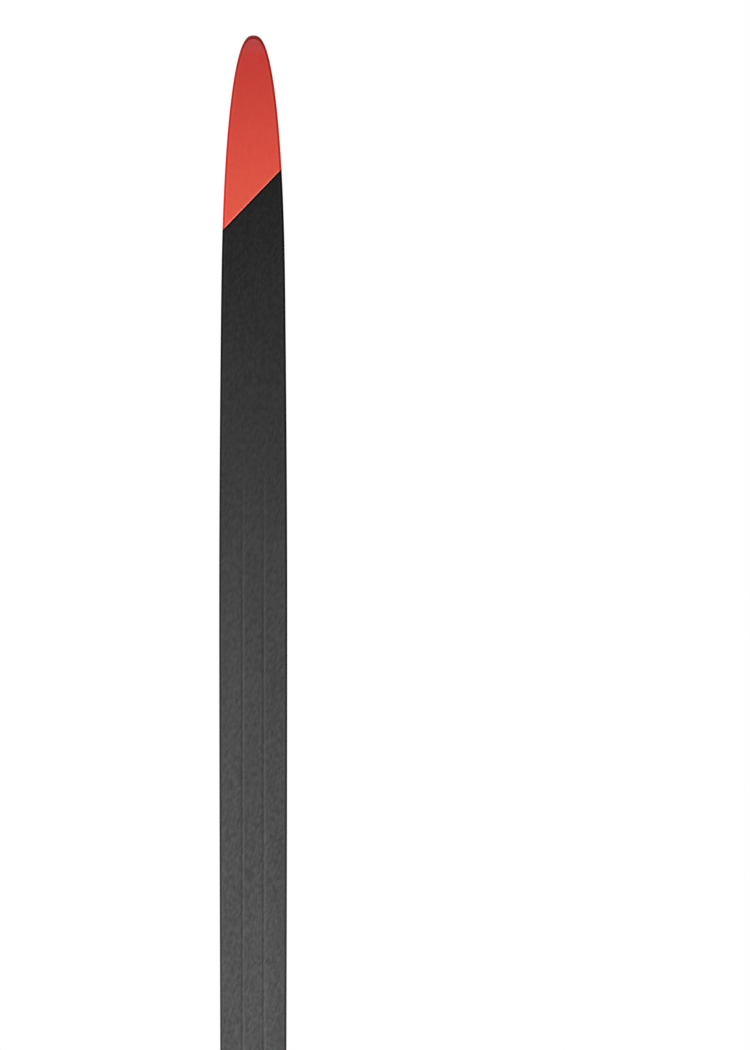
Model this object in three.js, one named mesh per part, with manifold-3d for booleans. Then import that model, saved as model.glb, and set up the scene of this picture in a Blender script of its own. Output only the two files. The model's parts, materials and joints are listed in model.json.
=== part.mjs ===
// A cross country skating ski with a generic step-in toe binding, lying on its base.
// Millimetres. +X points to the tip, +Y to the rider's left and +Z up. The origin is under the middle of
// the ski's length, level with the floor that the base touches at its two contact lines.
import * as THREE from "three";
import { mergeVertices } from "three/addons/utils/BufferGeometryUtils.js";
import Module from "manifold-3d";

const wasm = await Module();
wasm.setup();

// Outline of the ski, seen from above.
const LENGTH = 1860;
const TIP_X = LENGTH / 2;
const TAIL_X = -LENGTH / 2;
const SHOVEL_WIDTH = 45; // the widest place, at the back of the shovel
const SHOVEL_LENGTH = 372;
const SHOVEL_TAPER = 7.7; // how much the width shrinks along the shovel, before the point is rounded
const SHOVEL_TAPER_POWER = 1.72;
const POINT_LENGTH = 176.6; // the stretch that the rounding of the point takes
const POINT_POWER = 2.5;
const POINT_ROOT = 2.57;
const WAIST_WIDTH = 43;
const WAIST_X = 40;
const TAIL_WIDTH = 44.3;
const TAIL_SHOULDER_X = -790;
const TAIL_TAPER = 3.2;
const TAIL_CORNER = 24; // length of the tail's rounded end
const TAIL_CORNER_POWER = 3;
const END_TRIM = 0.3; // the outline is cut off square this far from its mathematical ends

// Side view of the ski.
const CAMBER = 22;
const CAMBER_X = -80;
const CAMBER_HALF = 720; // from the middle of the camber to each contact line
const CAMBER_POWER = 2.6;
const FRONT_CONTACT_X = CAMBER_X + CAMBER_HALF;
const REAR_CONTACT_X = CAMBER_X - CAMBER_HALF;
const TIP_RISE = 50;
const TIP_RISE_POWER = 2.6;
const TAIL_RISE = 10;
const TAIL_RISE_POWER = 2;
const MIDDLE_THICKNESS = 27;
const TIP_THICKNESS = 6.5;
const TAIL_THICKNESS = 7;
const THICK_FRONT_X = 110; // the middle thickness holds between these two
const THICK_REAR_X = -320;
const THIN_FRONT_X = 700; // and the end thicknesses hold beyond these two
const THIN_REAR_X = -880;

// Layers of the sandwich, as heights above the running surface or depths below the top.
const BOND = 0.1; // bond line between two layers
const BASE_THICKNESS = 1.3;
const BASE_BEVEL = 1.4;
const BASE_BEVEL_HEIGHT = 1.05;
const LAMINATE_THICKNESS = 0.6;
const LAMINATE_BOTTOM = BASE_THICKNESS + BOND;
const CORE_BOTTOM = LAMINATE_BOTTOM + LAMINATE_THICKNESS + BOND;
const TOP_SHEET_THICKNESS = 0.8;
const UPPER_LAMINATE_DEPTH = TOP_SHEET_THICKNESS + BOND;
const CORE_DEPTH = UPPER_LAMINATE_DEPTH + LAMINATE_THICKNESS + BOND;
const SHOULDER = 2.4; // height and width of the 45 degree shoulder along both top edges
const SIDEWALL_WIDTH = 3;
const STRINGER_WIDTH = 4;
const SIDE_GAP = 0.2; // bond line between the core, stringers and sidewalls
const TIP_SPACER_REAR_X = 780;
const TAIL_SPACER_FRONT_X = -820;
const END_GAP = 0.3; // gap between pieces that meet end to end
const PROTECTOR_LENGTH = 8;
const REINFORCEMENT_FRONT_X = 130;
const REINFORCEMENT_REAR_X = -340;
const REINFORCEMENT_THICKNESS = 1.2;

// The slanting joint between the inlay in the tip and the running base, and the two grooves.
const INLAY_JOINT_X = 821.5; // where the joint crosses the centreline
const INLAY_JOINT_SLOPE = 1.04; // forward per unit to the rider's left
const GROOVE_Y = 7;
const GROOVE_WIDTH = 3;
const GROOVE_FLOOR = 1.8;
const GROOVE_DEPTH = 0.3;
const GROOVE_START_DEPTH = 0.1;
const GROOVE_FRONT_X = 633;
const GROOVE_REAR_X = -770;
const GROOVE_FADE = 90;

// Binding plate: a head that overhangs a narrower neck, so that the units grip under its edges.
const PLATE_FRONT_X = 100;
const PLATE_REAR_X = -310;
const PLATE_TOP = 52.6;
const PLATE_HALF = 18.5;
const PLATE_NECK_HALF = 15.9;
const PLATE_HEAD = 1.8;
const NOTCH_PITCH = 4;
const NOTCH_COUNT = 9;
const NOTCH_LENGTH = 2;
const NOTCH_HALF_WIDTH = 4;
const NOTCH_DEPTH = 1;

// Units that slide on the plate.
const PLAY = 0.3;
const DECK_TOP = 56;
const UNIT_HALF = 20.3;
const LIP_BOTTOM = 49.3;
const LIP_TOP = 50.5;
const LIP_INNER = 16.5;
const DECK_CHAMFER = 1.2;
const RIDGE_INNER = 6;
const RIDGE_OUTER = 10.5;
const RIDGE_TOP = 59.5;
const RIDGE_RAMP = 4;
const SINK = 0.5; // how far a joined detail reaches into its neighbour
const NOSE_LENGTH = 14; // the toe unit's sloping front end
const NOSE_DROP = 2.2;
const RIDGE_SETBACK = 2; // from the end of a unit to its guide ridges
const BAR_X = -20; // axis of the boot's toe bar
const TOE_REAR_X = BAR_X - 60;
const TOE_FRONT_X = BAR_X + 95;
const TOE_RIDGE_FRONT_X = BAR_X - 12;
const HEEL_REAR_X = -285;
const HEEL_FRONT_X = -200;

// Toe bar slot, between the seat and the jaw.
const SLOT_REAR_X = BAR_X - 2.4;
const SLOT_FRONT_X = BAR_X + 2.5;
const SLOT_BOTTOM = 58.5;
const SLOT_TOP = 63.4;
const SEAT_HALF = 10;
const SEAT_REAR_X = BAR_X - 9;
const SEAT_CREST_X = BAR_X - 7;
const SEAT_TOE = 1; // height of the seat's rear edge
const SEAT_LIP = 0.8; // chamfers of the seat's upright lip
const SEAT_LIP_LENGTH = 2;
const SEAT_FLOOR_GAP = 0.4; // from the seat's front edge to the closed jaw
const JAW_HALF = 8;
const JAW_BOTTOM = 54.3;
const JAW_THICKNESS = 1.5;
const JAW_FRONT_X = BAR_X + 43;
const JAW_TRAVEL = 5;
const HOOK_WALL = 3; // thickness of the hook in front of the boot's bar
const HOOK_ROOF = 2.4; // and over it
const HOOK_CHAMFER = 1.6;
const HOOK_REAR_X = BAR_X - 1.2;
const HOOK_NOSE = 1.2; // height of the hook's rear edge
const CHANNEL_BOTTOM = 54;
const CHANNEL_END_GAP = 1; // in front of the open jaw

// Lever, its pin and the jaw's spring.
const LEVER_X = BAR_X + 34;
const LEVER_Z = 63;
const LEVER_PIN_RADIUS = 1.5;
const LEVER_PIN_HALF = 18.9;
const LEVER_HUB_RADIUS = 3.6;
const LEVER_HUB_HALF = 12.6;
const LEVER_GRIP_HALF = 17.5;
const CAM_HALF = 4;
const CAM_LENGTH = 6.2;
const CAM_THICKNESS = 3;
const TAB_REAR_X = LEVER_X + 2.7;
const TAB_THICKNESS = 2.5;
const TAB_TOP = 60;
const CHEEK_INNER = 13.2;
const SPRING_RADIUS = 1.9;
const SPRING_WIRE_RADIUS = 0.4;
const SPRING_Z = 58.4;
const SPRING_TURNS = 7;
const SPRING_TURN_STEPS = 10;
const SPRING_WIRE_SIDES = 6;
const SPRING_STOP_X = BAR_X + 57.8;
const SPRING_STOP_THICKNESS = 2.7;
const SPRING_STOP_TOP = 61;
const SPRING_STOP_HALF = 5;

// Flexor: the rubber bumper in front of the boot's toe, with ribs across its two faces.
const FLEXOR_REAR_X = BAR_X + 13;
const FLEXOR_FRONT_X = BAR_X + 27;
const FLEXOR_HALF = CHEEK_INNER - 0.5;
const FLEXOR_RIBS = 4;
const FLEXOR_RIB_HEIGHT = 2.1;
const FLEXOR_RIB_DEPTH = 0.9;
const FLEXOR_RIB_RAMP = 0.525; // height over which each rib narrows to the groove above it
const FLEXOR_CROWN = 1.2;
const FLEXOR_CROWN_INSET = 3;

// Side views of the shaped pieces, as [distance in front of the boot's bar, height above the floor].
const CHEEK_VIEW = [
  [8, DECK_TOP - SINK],
  [62, DECK_TOP - SINK],
  [56, 60.5],
  [42, 66.4],
  [36, 67.4],
  [28, 67.4],
  [14, 65],
  [10, 60.5],
];
const ARM_VIEW = [
  [32, 64],
  [36, 64.2],
  [64, 62.9],
  [64, 64.6],
  [50, 67.4],
  [38, 68],
  [34, 67.8],
  [31.4, 66.6],
];
const GRIP_VIEW = [
  [63, 62.4],
  [80, 59],
  [90, 58],
  [94, 58.4],
  [96, 60.4],
  [94, 62],
  [88, 61.6],
  [76, 63],
  [63, 65.7],
];

// Position latches, one in each unit.
const TOE_LATCH_X = BAR_X - 52;
const HEEL_LATCH_X = -256;
const LATCH_Z = 55.2;
const LATCH_LENGTH = 20.5;
const LATCH_HALF = 5.4;
const LATCH_HUB_RADIUS = 2;
const LATCH_PIN_RADIUS = 0.8;
const LATCH_PIN_HALF = 10.2;
const LATCH_PLATE_TOP = 55.7;
const LATCH_TOOTH_X = 18; // from the pivot
const LATCH_TOOTH_ROOT = 0.8; // half the tooth's length at its root
const LATCH_TOOTH_TIP = 0.5; // and at its tip
const LATCH_TOOTH_GAP = 0.2; // from the tooth's tip to the plate's top
const LATCH_TAB_HEIGHT = 1.8; // the turned-up finger tab
const LATCH_TAB_TOP = 1.2;
const LATCH_TAB_FOOT = 4;
const LATCH_WINDOW_REAR = 2.6;
const LATCH_WINDOW_FRONT = 21.5;

// Heel pad, behind the heel latch.
const HEEL_PAD_REAR_X = HEEL_REAR_X + 1.5;
const HEEL_PAD_FRONT_X = HEEL_LATCH_X - 7.5;
const HEEL_PAD_HEIGHT = 3.4;
const HEEL_PAD_CHAMFER = 1.2;
const HEEL_PAD_HALF = 16.5;
const HEEL_RIDGE_REAR_X = HEEL_LATCH_X - 6;

const SHARED_STEP = 38; // longest facet along the ski
const POINT_STATIONS = 12;
const CORNER_STATIONS = 5;
const ROUND_SIDES = 16;
const PIN_SIDES = 12;
const WELD = 1e-4;

// ---------------------------------------------------------------- solids

function weld(geometry) {
  const bare = geometry.clone();
  bare.deleteAttribute("normal");
  bare.deleteAttribute("uv");
  return mergeVertices(bare, WELD);
}

function toSolid(geometry) {
  const welded = weld(geometry);
  return new wasm.Manifold(
    new wasm.Mesh({
      numProp: 3,
      vertProperties: welded.attributes.position.array,
      triVerts: new Uint32Array(welded.index.array),
    }),
  );
}

function toGeometry(solid) {
  const mesh = solid.getMesh();
  const geometry = new THREE.BufferGeometry();
  geometry.setAttribute("position", new THREE.BufferAttribute(mesh.vertProperties, mesh.numProp));
  geometry.setIndex(new THREE.BufferAttribute(mesh.triVerts, 1));
  geometry.computeVertexNormals();
  return geometry;
}

function join(first, ...others) {
  return others.reduce((whole, next) => whole.add(next), first);
}

function cut(first, ...others) {
  return others.reduce((whole, next) => whole.subtract(next), first);
}

function box(x0, x1, y0, y1, z0, z1) {
  const geometry = new THREE.BoxGeometry(x1 - x0, y1 - y0, z1 - z0);
  geometry.translate((x0 + x1) / 2, (y0 + y1) / 2, (z0 + z1) / 2);
  return toSolid(geometry);
}

function extrude(points, depth) {
  const shape = new THREE.Shape(points.map(([a, b]) => new THREE.Vector2(a, b)));
  return new THREE.ExtrudeGeometry(shape, { depth, bevelEnabled: false });
}

// A side view, as [x, z] points, given a width across the ski.
function prismAcross(points, y0, y1) {
  const geometry = extrude(points, y1 - y0);
  geometry.rotateX(Math.PI / 2);
  geometry.translate(0, y1, 0);
  return toSolid(geometry);
}

// A front view, as [y, z] points, given a length along the ski.
function prismAlong(points, x0, x1) {
  const geometry = extrude(points, x1 - x0);
  const acrossAxis = new THREE.Vector3(0, 1, 0);
  const upAxis = new THREE.Vector3(0, 0, 1);
  const alongAxis = new THREE.Vector3(1, 0, 0);
  geometry.applyMatrix4(new THREE.Matrix4().makeBasis(acrossAxis, upAxis, alongAxis));
  geometry.translate(x0, 0, 0);
  return toSolid(geometry);
}

function rodAcross(x, z, radius, half, sides) {
  const geometry = new THREE.CylinderGeometry(radius, radius, half * 2, sides);
  geometry.translate(x, 0, z);
  return toSolid(geometry);
}

// Skins a row of convex rings of [x, y, z] points that all have the same number of points.
function loft(rings) {
  const size = rings[0].length;
  const positions = rings.flat(2);
  const indices = [];
  for (let ring = 0; ring + 1 < rings.length; ring++) {
    for (let i = 0; i < size; i++) {
      const a = ring * size + i;
      const b = ring * size + ((i + 1) % size);
      indices.push(a, b, b + size, a, b + size, a + size);
    }
  }
  const last = (rings.length - 1) * size;
  for (let i = 1; i + 1 < size; i++) {
    indices.push(0, i + 1, i);
    indices.push(last, last + i, last + i + 1);
  }
  const geometry = new THREE.BufferGeometry();
  geometry.setAttribute("position", new THREE.Float32BufferAttribute(positions, 3));
  geometry.setIndex(indices);
  return toSolid(geometry);
}

// ---------------------------------------------------------------- shape of the ski

function ease(from, to, share) {
  return from + ((to - from) * (1 - Math.cos(Math.PI * share))) / 2;
}

function widthAt(x) {
  const fromTip = TIP_X - x;
  const fromTail = x - TAIL_X;
  if (fromTip < SHOVEL_LENGTH) {
    const taper = SHOVEL_TAPER * (1 - fromTip / SHOVEL_LENGTH) ** SHOVEL_TAPER_POWER;
    const point = 1 - Math.max(0, 1 - fromTip / POINT_LENGTH) ** POINT_POWER;
    return (SHOVEL_WIDTH - taper) * point ** (1 / POINT_ROOT);
  }
  if (x > WAIST_X) {
    return ease(WAIST_WIDTH, SHOVEL_WIDTH, (x - WAIST_X) / (TIP_X - SHOVEL_LENGTH - WAIST_X));
  }
  if (x > TAIL_SHOULDER_X) {
    return ease(TAIL_WIDTH, WAIST_WIDTH, (x - TAIL_SHOULDER_X) / (WAIST_X - TAIL_SHOULDER_X));
  }
  const taper = TAIL_TAPER * (1 - fromTail / (TAIL_SHOULDER_X - TAIL_X)) ** 2;
  const corner = 1 - Math.max(0, 1 - fromTail / TAIL_CORNER) ** TAIL_CORNER_POWER;
  return (TAIL_WIDTH - taper) * corner ** (1 / TAIL_CORNER_POWER);
}

// Half the width at x, and the outline's outward normal there.
function outlineAt(x) {
  const reach = END_TRIM / 2;
  const at = THREE.MathUtils.clamp(x, TAIL_X + END_TRIM, TIP_X - END_TRIM);
  const slope = (widthAt(at + reach) - widthAt(at - reach)) / (4 * reach);
  const length = Math.hypot(1, slope);
  return { half: widthAt(at) / 2, normalX: -slope / length, normalY: 1 / length };
}

// Height of the running surface above the floor.
function baseAt(x) {
  if (x > FRONT_CONTACT_X) {
    return TIP_RISE * ((x - FRONT_CONTACT_X) / (TIP_X - FRONT_CONTACT_X)) ** TIP_RISE_POWER;
  }
  if (x < REAR_CONTACT_X) {
    return TAIL_RISE * ((REAR_CONTACT_X - x) / (REAR_CONTACT_X - TAIL_X)) ** TAIL_RISE_POWER;
  }
  const share = Math.abs(x - CAMBER_X) / CAMBER_HALF;
  return CAMBER * (1 - share ** CAMBER_POWER) ** 2;
}

function thicknessAt(x) {
  if (x > THICK_FRONT_X) {
    const share = Math.min(1, (x - THICK_FRONT_X) / (THIN_FRONT_X - THICK_FRONT_X));
    return ease(MIDDLE_THICKNESS, TIP_THICKNESS, share);
  }
  const share = THREE.MathUtils.clamp((THICK_REAR_X - x) / (THICK_REAR_X - THIN_REAR_X), 0, 1);
  return ease(MIDDLE_THICKNESS, TAIL_THICKNESS, share);
}

// A point at an inset from the outline, on the rider's left for side 1 and right for side -1.
function skiPoint(x, side, inset, height) {
  const rim = outlineAt(x);
  const inX = x - inset * rim.normalX;
  return [inX, side * (rim.half - inset * rim.normalY), baseAt(inX) + height];
}

// Places along the ski that every layer shares, so that stacked layers have matching facets.
function sharedStations() {
  const ends = [
    TIP_X - POINT_LENGTH,
    TIP_SPACER_REAR_X,
    TIP_SPACER_REAR_X - END_GAP,
    FRONT_CONTACT_X,
    GROOVE_FRONT_X,
    REINFORCEMENT_FRONT_X,
    PLATE_FRONT_X,
    PLATE_REAR_X,
    REINFORCEMENT_REAR_X,
    GROOVE_REAR_X,
    REAR_CONTACT_X,
    TAIL_SPACER_FRONT_X,
    TAIL_SPACER_FRONT_X + END_GAP,
    TAIL_X + TAIL_CORNER,
    TAIL_X + PROTECTOR_LENGTH,
    TAIL_X + PROTECTOR_LENGTH + END_GAP,
  ];
  for (let i = 0; i < POINT_STATIONS; i++) {
    ends.push(TIP_X - POINT_LENGTH * (i / POINT_STATIONS) ** 2);
  }
  for (let i = 0; i < CORNER_STATIONS; i++) {
    ends.push(TAIL_X + TAIL_CORNER * (i / CORNER_STATIONS) ** 2);
  }
  ends.sort((a, b) => a - b);
  const stations = [ends[0]];
  for (const end of ends.slice(1)) {
    const start = stations.at(-1);
    const steps = Math.ceil((end - start) / SHARED_STEP);
    for (let i = 1; i <= steps; i++) {
      stations.push(start + ((end - start) * i) / steps);
    }
  }
  return stations;
}

const STATIONS = sharedStations();

function stationsBetween(rearX, frontX) {
  return STATIONS.filter((x) => x >= rearX && x <= frontX);
}

// A layer over the full width. rightSide(x) lists [inset, height] from its lowest point up.
function fullLayer(rearX, frontX, rightSide) {
  const rings = stationsBetween(rearX, frontX).map((x) => {
    const side = rightSide(x);
    const right = side.map(([inset, height]) => skiPoint(x, -1, inset, height));
    const left = side.map(([inset, height]) => skiPoint(x, 1, inset, height));
    return [...left, ...right.reverse()];
  });
  return loft(rings);
}

// A strip on one side of the ski. section(x) lists [inset, height] from its lowest outer point up and in.
function sideLayer(rearX, frontX, side, section) {
  const rings = stationsBetween(rearX, frontX).map((x) => {
    const ring = section(x).map(([inset, height]) => skiPoint(x, side, inset, height));
    return side > 0 ? ring : ring.reverse();
  });
  return loft(rings);
}

// The outer face from the core's bottom up to a depth below the top, with its share of the shoulder.
function outerFace(x, bottom, topDepth) {
  const shoulderStart = thicknessAt(x) - SHOULDER;
  return [
    [0, bottom],
    [0, shoulderStart],
    [SHOULDER - topDepth, thicknessAt(x) - topDepth],
  ];
}

// ---------------------------------------------------------------- layers of the ski

function baseSheet() {
  return fullLayer(TAIL_X, TIP_X, () => [
    [BASE_BEVEL, 0],
    [0, BASE_BEVEL_HEIGHT],
    [0, BASE_THICKNESS],
  ]);
}

// Everything in front of (side 1) or behind (side -1) the slanting joint, as a block to cut away.
function jointBlock(side) {
  const reach = SHOVEL_WIDTH;
  const nearX = INLAY_JOINT_X - (side * END_GAP) / 2;
  const farX = nearX + side * LENGTH;
  const slant = reach * INLAY_JOINT_SLOPE;
  const shape = new THREE.Shape([
    new THREE.Vector2(nearX - slant, -reach),
    new THREE.Vector2(farX, -reach),
    new THREE.Vector2(farX, reach),
    new THREE.Vector2(nearX + slant, reach),
  ]);
  const height = TIP_RISE * 2;
  const geometry = new THREE.ExtrudeGeometry(shape, { depth: height, bevelEnabled: false });
  geometry.translate(0, 0, -SINK);
  return toSolid(geometry);
}

function grooveCutter(side) {
  const rings = stationsBetween(GROOVE_REAR_X, GROOVE_FRONT_X).map((x) => {
    const fromEnd = Math.min(GROOVE_FRONT_X - x, x - GROOVE_REAR_X);
    const depth = ease(GROOVE_START_DEPTH, GROOVE_DEPTH, Math.min(1, fromEnd / GROOVE_FADE));
    const middle = side * GROOVE_Y;
    const flare = (GROOVE_WIDTH - GROOVE_FLOOR) / 2 / GROOVE_DEPTH;
    const mouth = GROOVE_FLOOR / 2 + flare * (depth + SINK);
    return [
      [x, middle + mouth, baseAt(x) - SINK],
      [x, middle + GROOVE_FLOOR / 2, baseAt(x) + depth],
      [x, middle - GROOVE_FLOOR / 2, baseAt(x) + depth],
      [x, middle - mouth, baseAt(x) - SINK],
    ];
  });
  return loft(rings);
}

function runningBase() {
  return cut(baseSheet(), jointBlock(1), grooveCutter(1), grooveCutter(-1));
}

function tipBase() {
  return cut(baseSheet(), jointBlock(-1));
}

function lowerLaminate() {
  return fullLayer(TAIL_X + PROTECTOR_LENGTH + END_GAP, TIP_X, () => [
    [0, LAMINATE_BOTTOM],
    [0, LAMINATE_BOTTOM + LAMINATE_THICKNESS],
  ]);
}

function upperLaminate() {
  return fullLayer(TAIL_X + PROTECTOR_LENGTH + END_GAP, TIP_X, (x) => [
    [SHOULDER - CORE_DEPTH + BOND, thicknessAt(x) - CORE_DEPTH + BOND],
    [SHOULDER - UPPER_LAMINATE_DEPTH, thicknessAt(x) - UPPER_LAMINATE_DEPTH],
  ]);
}

function topSheet() {
  return fullLayer(TAIL_X, TIP_X, (x) => [
    [SHOULDER - TOP_SHEET_THICKNESS, thicknessAt(x) - TOP_SHEET_THICKNESS],
    [SHOULDER, thicknessAt(x)],
  ]);
}

function spacer(rearX, frontX) {
  return fullLayer(rearX, frontX, (x) => outerFace(x, CORE_BOTTOM, CORE_DEPTH));
}

function tailProtector() {
  return fullLayer(TAIL_X, TAIL_X + PROTECTOR_LENGTH, (x) =>
    outerFace(x, LAMINATE_BOTTOM, UPPER_LAMINATE_DEPTH),
  );
}

function coreRear() {
  return TAIL_SPACER_FRONT_X + END_GAP;
}

function coreFront() {
  return TIP_SPACER_REAR_X - END_GAP;
}

function sidewall(side) {
  return sideLayer(coreRear(), coreFront(), side, (x) => [
    ...outerFace(x, CORE_BOTTOM, CORE_DEPTH),
    [SIDEWALL_WIDTH, thicknessAt(x) - CORE_DEPTH],
    [SIDEWALL_WIDTH, CORE_BOTTOM],
  ]);
}

// The recess for the reinforcement is left open over its length.
function coreTopAt(x) {
  const reinforced = x >= REINFORCEMENT_REAR_X && x <= REINFORCEMENT_FRONT_X;
  const recess = REINFORCEMENT_THICKNESS + BOND;
  return thicknessAt(x) - CORE_DEPTH - (reinforced ? recess : 0);
}

function stringer(side) {
  const outer = SIDEWALL_WIDTH + SIDE_GAP;
  return sideLayer(coreRear(), coreFront(), side, (x) => [
    [outer, CORE_BOTTOM],
    [outer, coreTopAt(x)],
    [outer + STRINGER_WIDTH, coreTopAt(x)],
    [outer + STRINGER_WIDTH, CORE_BOTTOM],
  ]);
}

function honeycombCore() {
  const inset = SIDEWALL_WIDTH + STRINGER_WIDTH + 2 * SIDE_GAP;
  return fullLayer(coreRear(), coreFront(), (x) => [
    [inset, CORE_BOTTOM],
    [inset, coreTopAt(x)],
  ]);
}

function bindingReinforcement() {
  const inset = SIDEWALL_WIDTH + SIDE_GAP;
  return fullLayer(REINFORCEMENT_REAR_X, REINFORCEMENT_FRONT_X, (x) => [
    [inset, thicknessAt(x) - CORE_DEPTH - REINFORCEMENT_THICKNESS],
    [inset, thicknessAt(x) - CORE_DEPTH],
  ]);
}

// ---------------------------------------------------------------- binding

function notches(pivotX) {
  const middleX = pivotX + LATCH_TOOTH_X;
  const firstX = middleX - (NOTCH_PITCH * (NOTCH_COUNT - 1)) / 2;
  return Array.from({ length: NOTCH_COUNT }, (_, i) => {
    const x = firstX + i * NOTCH_PITCH;
    const half = NOTCH_LENGTH / 2;
    const floor = PLATE_TOP - NOTCH_DEPTH;
    return box(x - half, x + half, -NOTCH_HALF_WIDTH, NOTCH_HALF_WIDTH, floor, PLATE_TOP + SINK);
  });
}

function bindingPlate() {
  const headBottom = PLATE_TOP - PLATE_HEAD;
  const rings = stationsBetween(PLATE_REAR_X, PLATE_FRONT_X).map((x) => {
    const bottom = baseAt(x) + thicknessAt(x) + BOND;
    return [
      [x, PLATE_NECK_HALF, bottom],
      [x, PLATE_NECK_HALF, headBottom + SINK],
      [x, -PLATE_NECK_HALF, headBottom + SINK],
      [x, -PLATE_NECK_HALF, bottom],
    ];
  });
  const head = box(PLATE_REAR_X, PLATE_FRONT_X, -PLATE_HALF, PLATE_HALF, headBottom, PLATE_TOP);
  const plate = join(loft(rings), head);
  return cut(plate, ...notches(TOE_LATCH_X), ...notches(HEEL_LATCH_X));
}

// The deck of a unit, with the two lips that grip under the plate's head.
function slidingDeck(rearX, frontX) {
  const innerHalf = PLATE_HALF + PLAY;
  const deckBottom = PLATE_TOP + PLAY;
  const rightHalf = [
    [LIP_INNER, LIP_BOTTOM],
    [UNIT_HALF, LIP_BOTTOM],
    [UNIT_HALF, DECK_TOP - DECK_CHAMFER],
    [UNIT_HALF - DECK_CHAMFER, DECK_TOP],
  ];
  const inside = [
    [innerHalf, deckBottom],
    [innerHalf, LIP_TOP],
    [LIP_INNER, LIP_TOP],
  ];
  const mirror = ([y, z]) => [-y, z];
  const section = [
    ...rightHalf,
    ...rightHalf.map(mirror).reverse(),
    ...inside.map(mirror).reverse(),
    ...inside,
  ];
  return prismAlong(section, rearX, frontX);
}

function guideRidge(rearX, frontX, side) {
  const points = [
    [rearX, DECK_TOP - SINK],
    [frontX, DECK_TOP - SINK],
    [frontX, DECK_TOP],
    [frontX - RIDGE_RAMP, RIDGE_TOP],
    [rearX + RIDGE_RAMP, RIDGE_TOP],
    [rearX, DECK_TOP],
  ];
  const nearY = side > 0 ? RIDGE_INNER : -RIDGE_OUTER;
  return prismAcross(points, nearY, nearY + RIDGE_OUTER - RIDGE_INNER);
}

function latchWindow(pivotX) {
  const rearX = pivotX - LATCH_WINDOW_REAR;
  const frontX = pivotX + LATCH_WINDOW_FRONT;
  return box(rearX, frontX, -RIDGE_INNER, RIDGE_INNER, PLATE_TOP, RIDGE_TOP);
}

function latchBore(pivotX) {
  return rodAcross(pivotX, LATCH_Z, LATCH_PIN_RADIUS + PLAY, RIDGE_OUTER + SINK, PIN_SIDES);
}

// Turns a side view measured from the boot's bar into [x, z] points.
function fromBar(view) {
  return view.map(([forward, z]) => [BAR_X + forward, z]);
}

function cheek(side) {
  const outer = UNIT_HALF - DECK_CHAMFER;
  const nearY = side > 0 ? CHEEK_INNER : -outer;
  return prismAcross(fromBar(CHEEK_VIEW), nearY, nearY + outer - CHEEK_INNER);
}

function noseCut() {
  const points = [
    [TOE_FRONT_X - NOSE_LENGTH, DECK_TOP + SINK],
    [TOE_FRONT_X - NOSE_LENGTH, DECK_TOP],
    [TOE_FRONT_X, DECK_TOP - NOSE_DROP],
    [TOE_FRONT_X + SINK, DECK_TOP + SINK],
  ];
  return prismAcross(points, -UNIT_HALF - SINK, UNIT_HALF + SINK);
}

function toeChassis() {
  const ridgeRearX = TOE_REAR_X + RIDGE_SETBACK;
  const stopFrontX = SPRING_STOP_X + SPRING_STOP_THICKNESS;
  const body = join(
    slidingDeck(TOE_REAR_X, TOE_FRONT_X),
    guideRidge(ridgeRearX, TOE_RIDGE_FRONT_X, 1),
    guideRidge(ridgeRearX, TOE_RIDGE_FRONT_X, -1),
    cheek(1),
    cheek(-1),
    box(SPRING_STOP_X, stopFrontX, -SPRING_STOP_HALF, SPRING_STOP_HALF, DECK_TOP - SINK, SPRING_STOP_TOP),
  );
  const channelRearX = SLOT_FRONT_X - PLAY;
  const channelFrontX = JAW_FRONT_X + JAW_TRAVEL + CHANNEL_END_GAP;
  const channelHalf = JAW_HALF + PLAY;
  return cut(
    body,
    box(channelRearX, channelFrontX, -channelHalf, channelHalf, CHANNEL_BOTTOM, DECK_TOP + SINK),
    rodAcross(LEVER_X, LEVER_Z, LEVER_PIN_RADIUS + PLAY, UNIT_HALF, PIN_SIDES),
    latchWindow(TOE_LATCH_X),
    latchBore(TOE_LATCH_X),
    noseCut(),
  );
}

// The steel cradle under and behind the boot's bar. Its rear slope leads the bar up and over the lip.
function barSeat() {
  const bottom = DECK_TOP + PLAY;
  const frontX = SLOT_FRONT_X - SEAT_FLOOR_GAP;
  const lipTop = SLOT_TOP - SEAT_LIP / 2;
  const points = [
    [SEAT_REAR_X, bottom],
    [frontX, bottom],
    [frontX, SLOT_BOTTOM],
    [SLOT_REAR_X, SLOT_BOTTOM],
    [SLOT_REAR_X, lipTop - SEAT_LIP],
    [SLOT_REAR_X - SEAT_LIP, lipTop],
    [SLOT_REAR_X - SEAT_LIP_LENGTH, lipTop - SEAT_LIP / 2],
    [SEAT_CREST_X, SLOT_BOTTOM],
    [SEAT_REAR_X, bottom + SEAT_TOE],
  ];
  return prismAcross(points, -SEAT_HALF, SEAT_HALF);
}

// A sliding steel plate with a hook over the boot's bar and a tab that the lever's cam and the spring push.
function jaw() {
  const plateTop = JAW_BOTTOM + JAW_THICKNESS;
  const wallX = SLOT_FRONT_X + HOOK_WALL;
  const roof = SLOT_TOP + HOOK_ROOF;
  const hook = [
    [SLOT_FRONT_X, JAW_BOTTOM],
    [JAW_FRONT_X, JAW_BOTTOM],
    [JAW_FRONT_X, plateTop],
    [wallX, plateTop],
    [wallX, roof - HOOK_CHAMFER],
    [wallX - HOOK_CHAMFER, roof],
    [HOOK_REAR_X + HOOK_NOSE / 2, roof],
    [HOOK_REAR_X, SLOT_TOP + HOOK_NOSE],
    [HOOK_REAR_X, SLOT_TOP],
    [SLOT_FRONT_X, SLOT_TOP],
  ];
  const tab = box(TAB_REAR_X, TAB_REAR_X + TAB_THICKNESS, -CAM_HALF, CAM_HALF, JAW_BOTTOM, TAB_TOP);
  return join(prismAcross(hook, -JAW_HALF, JAW_HALF), tab);
}

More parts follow.
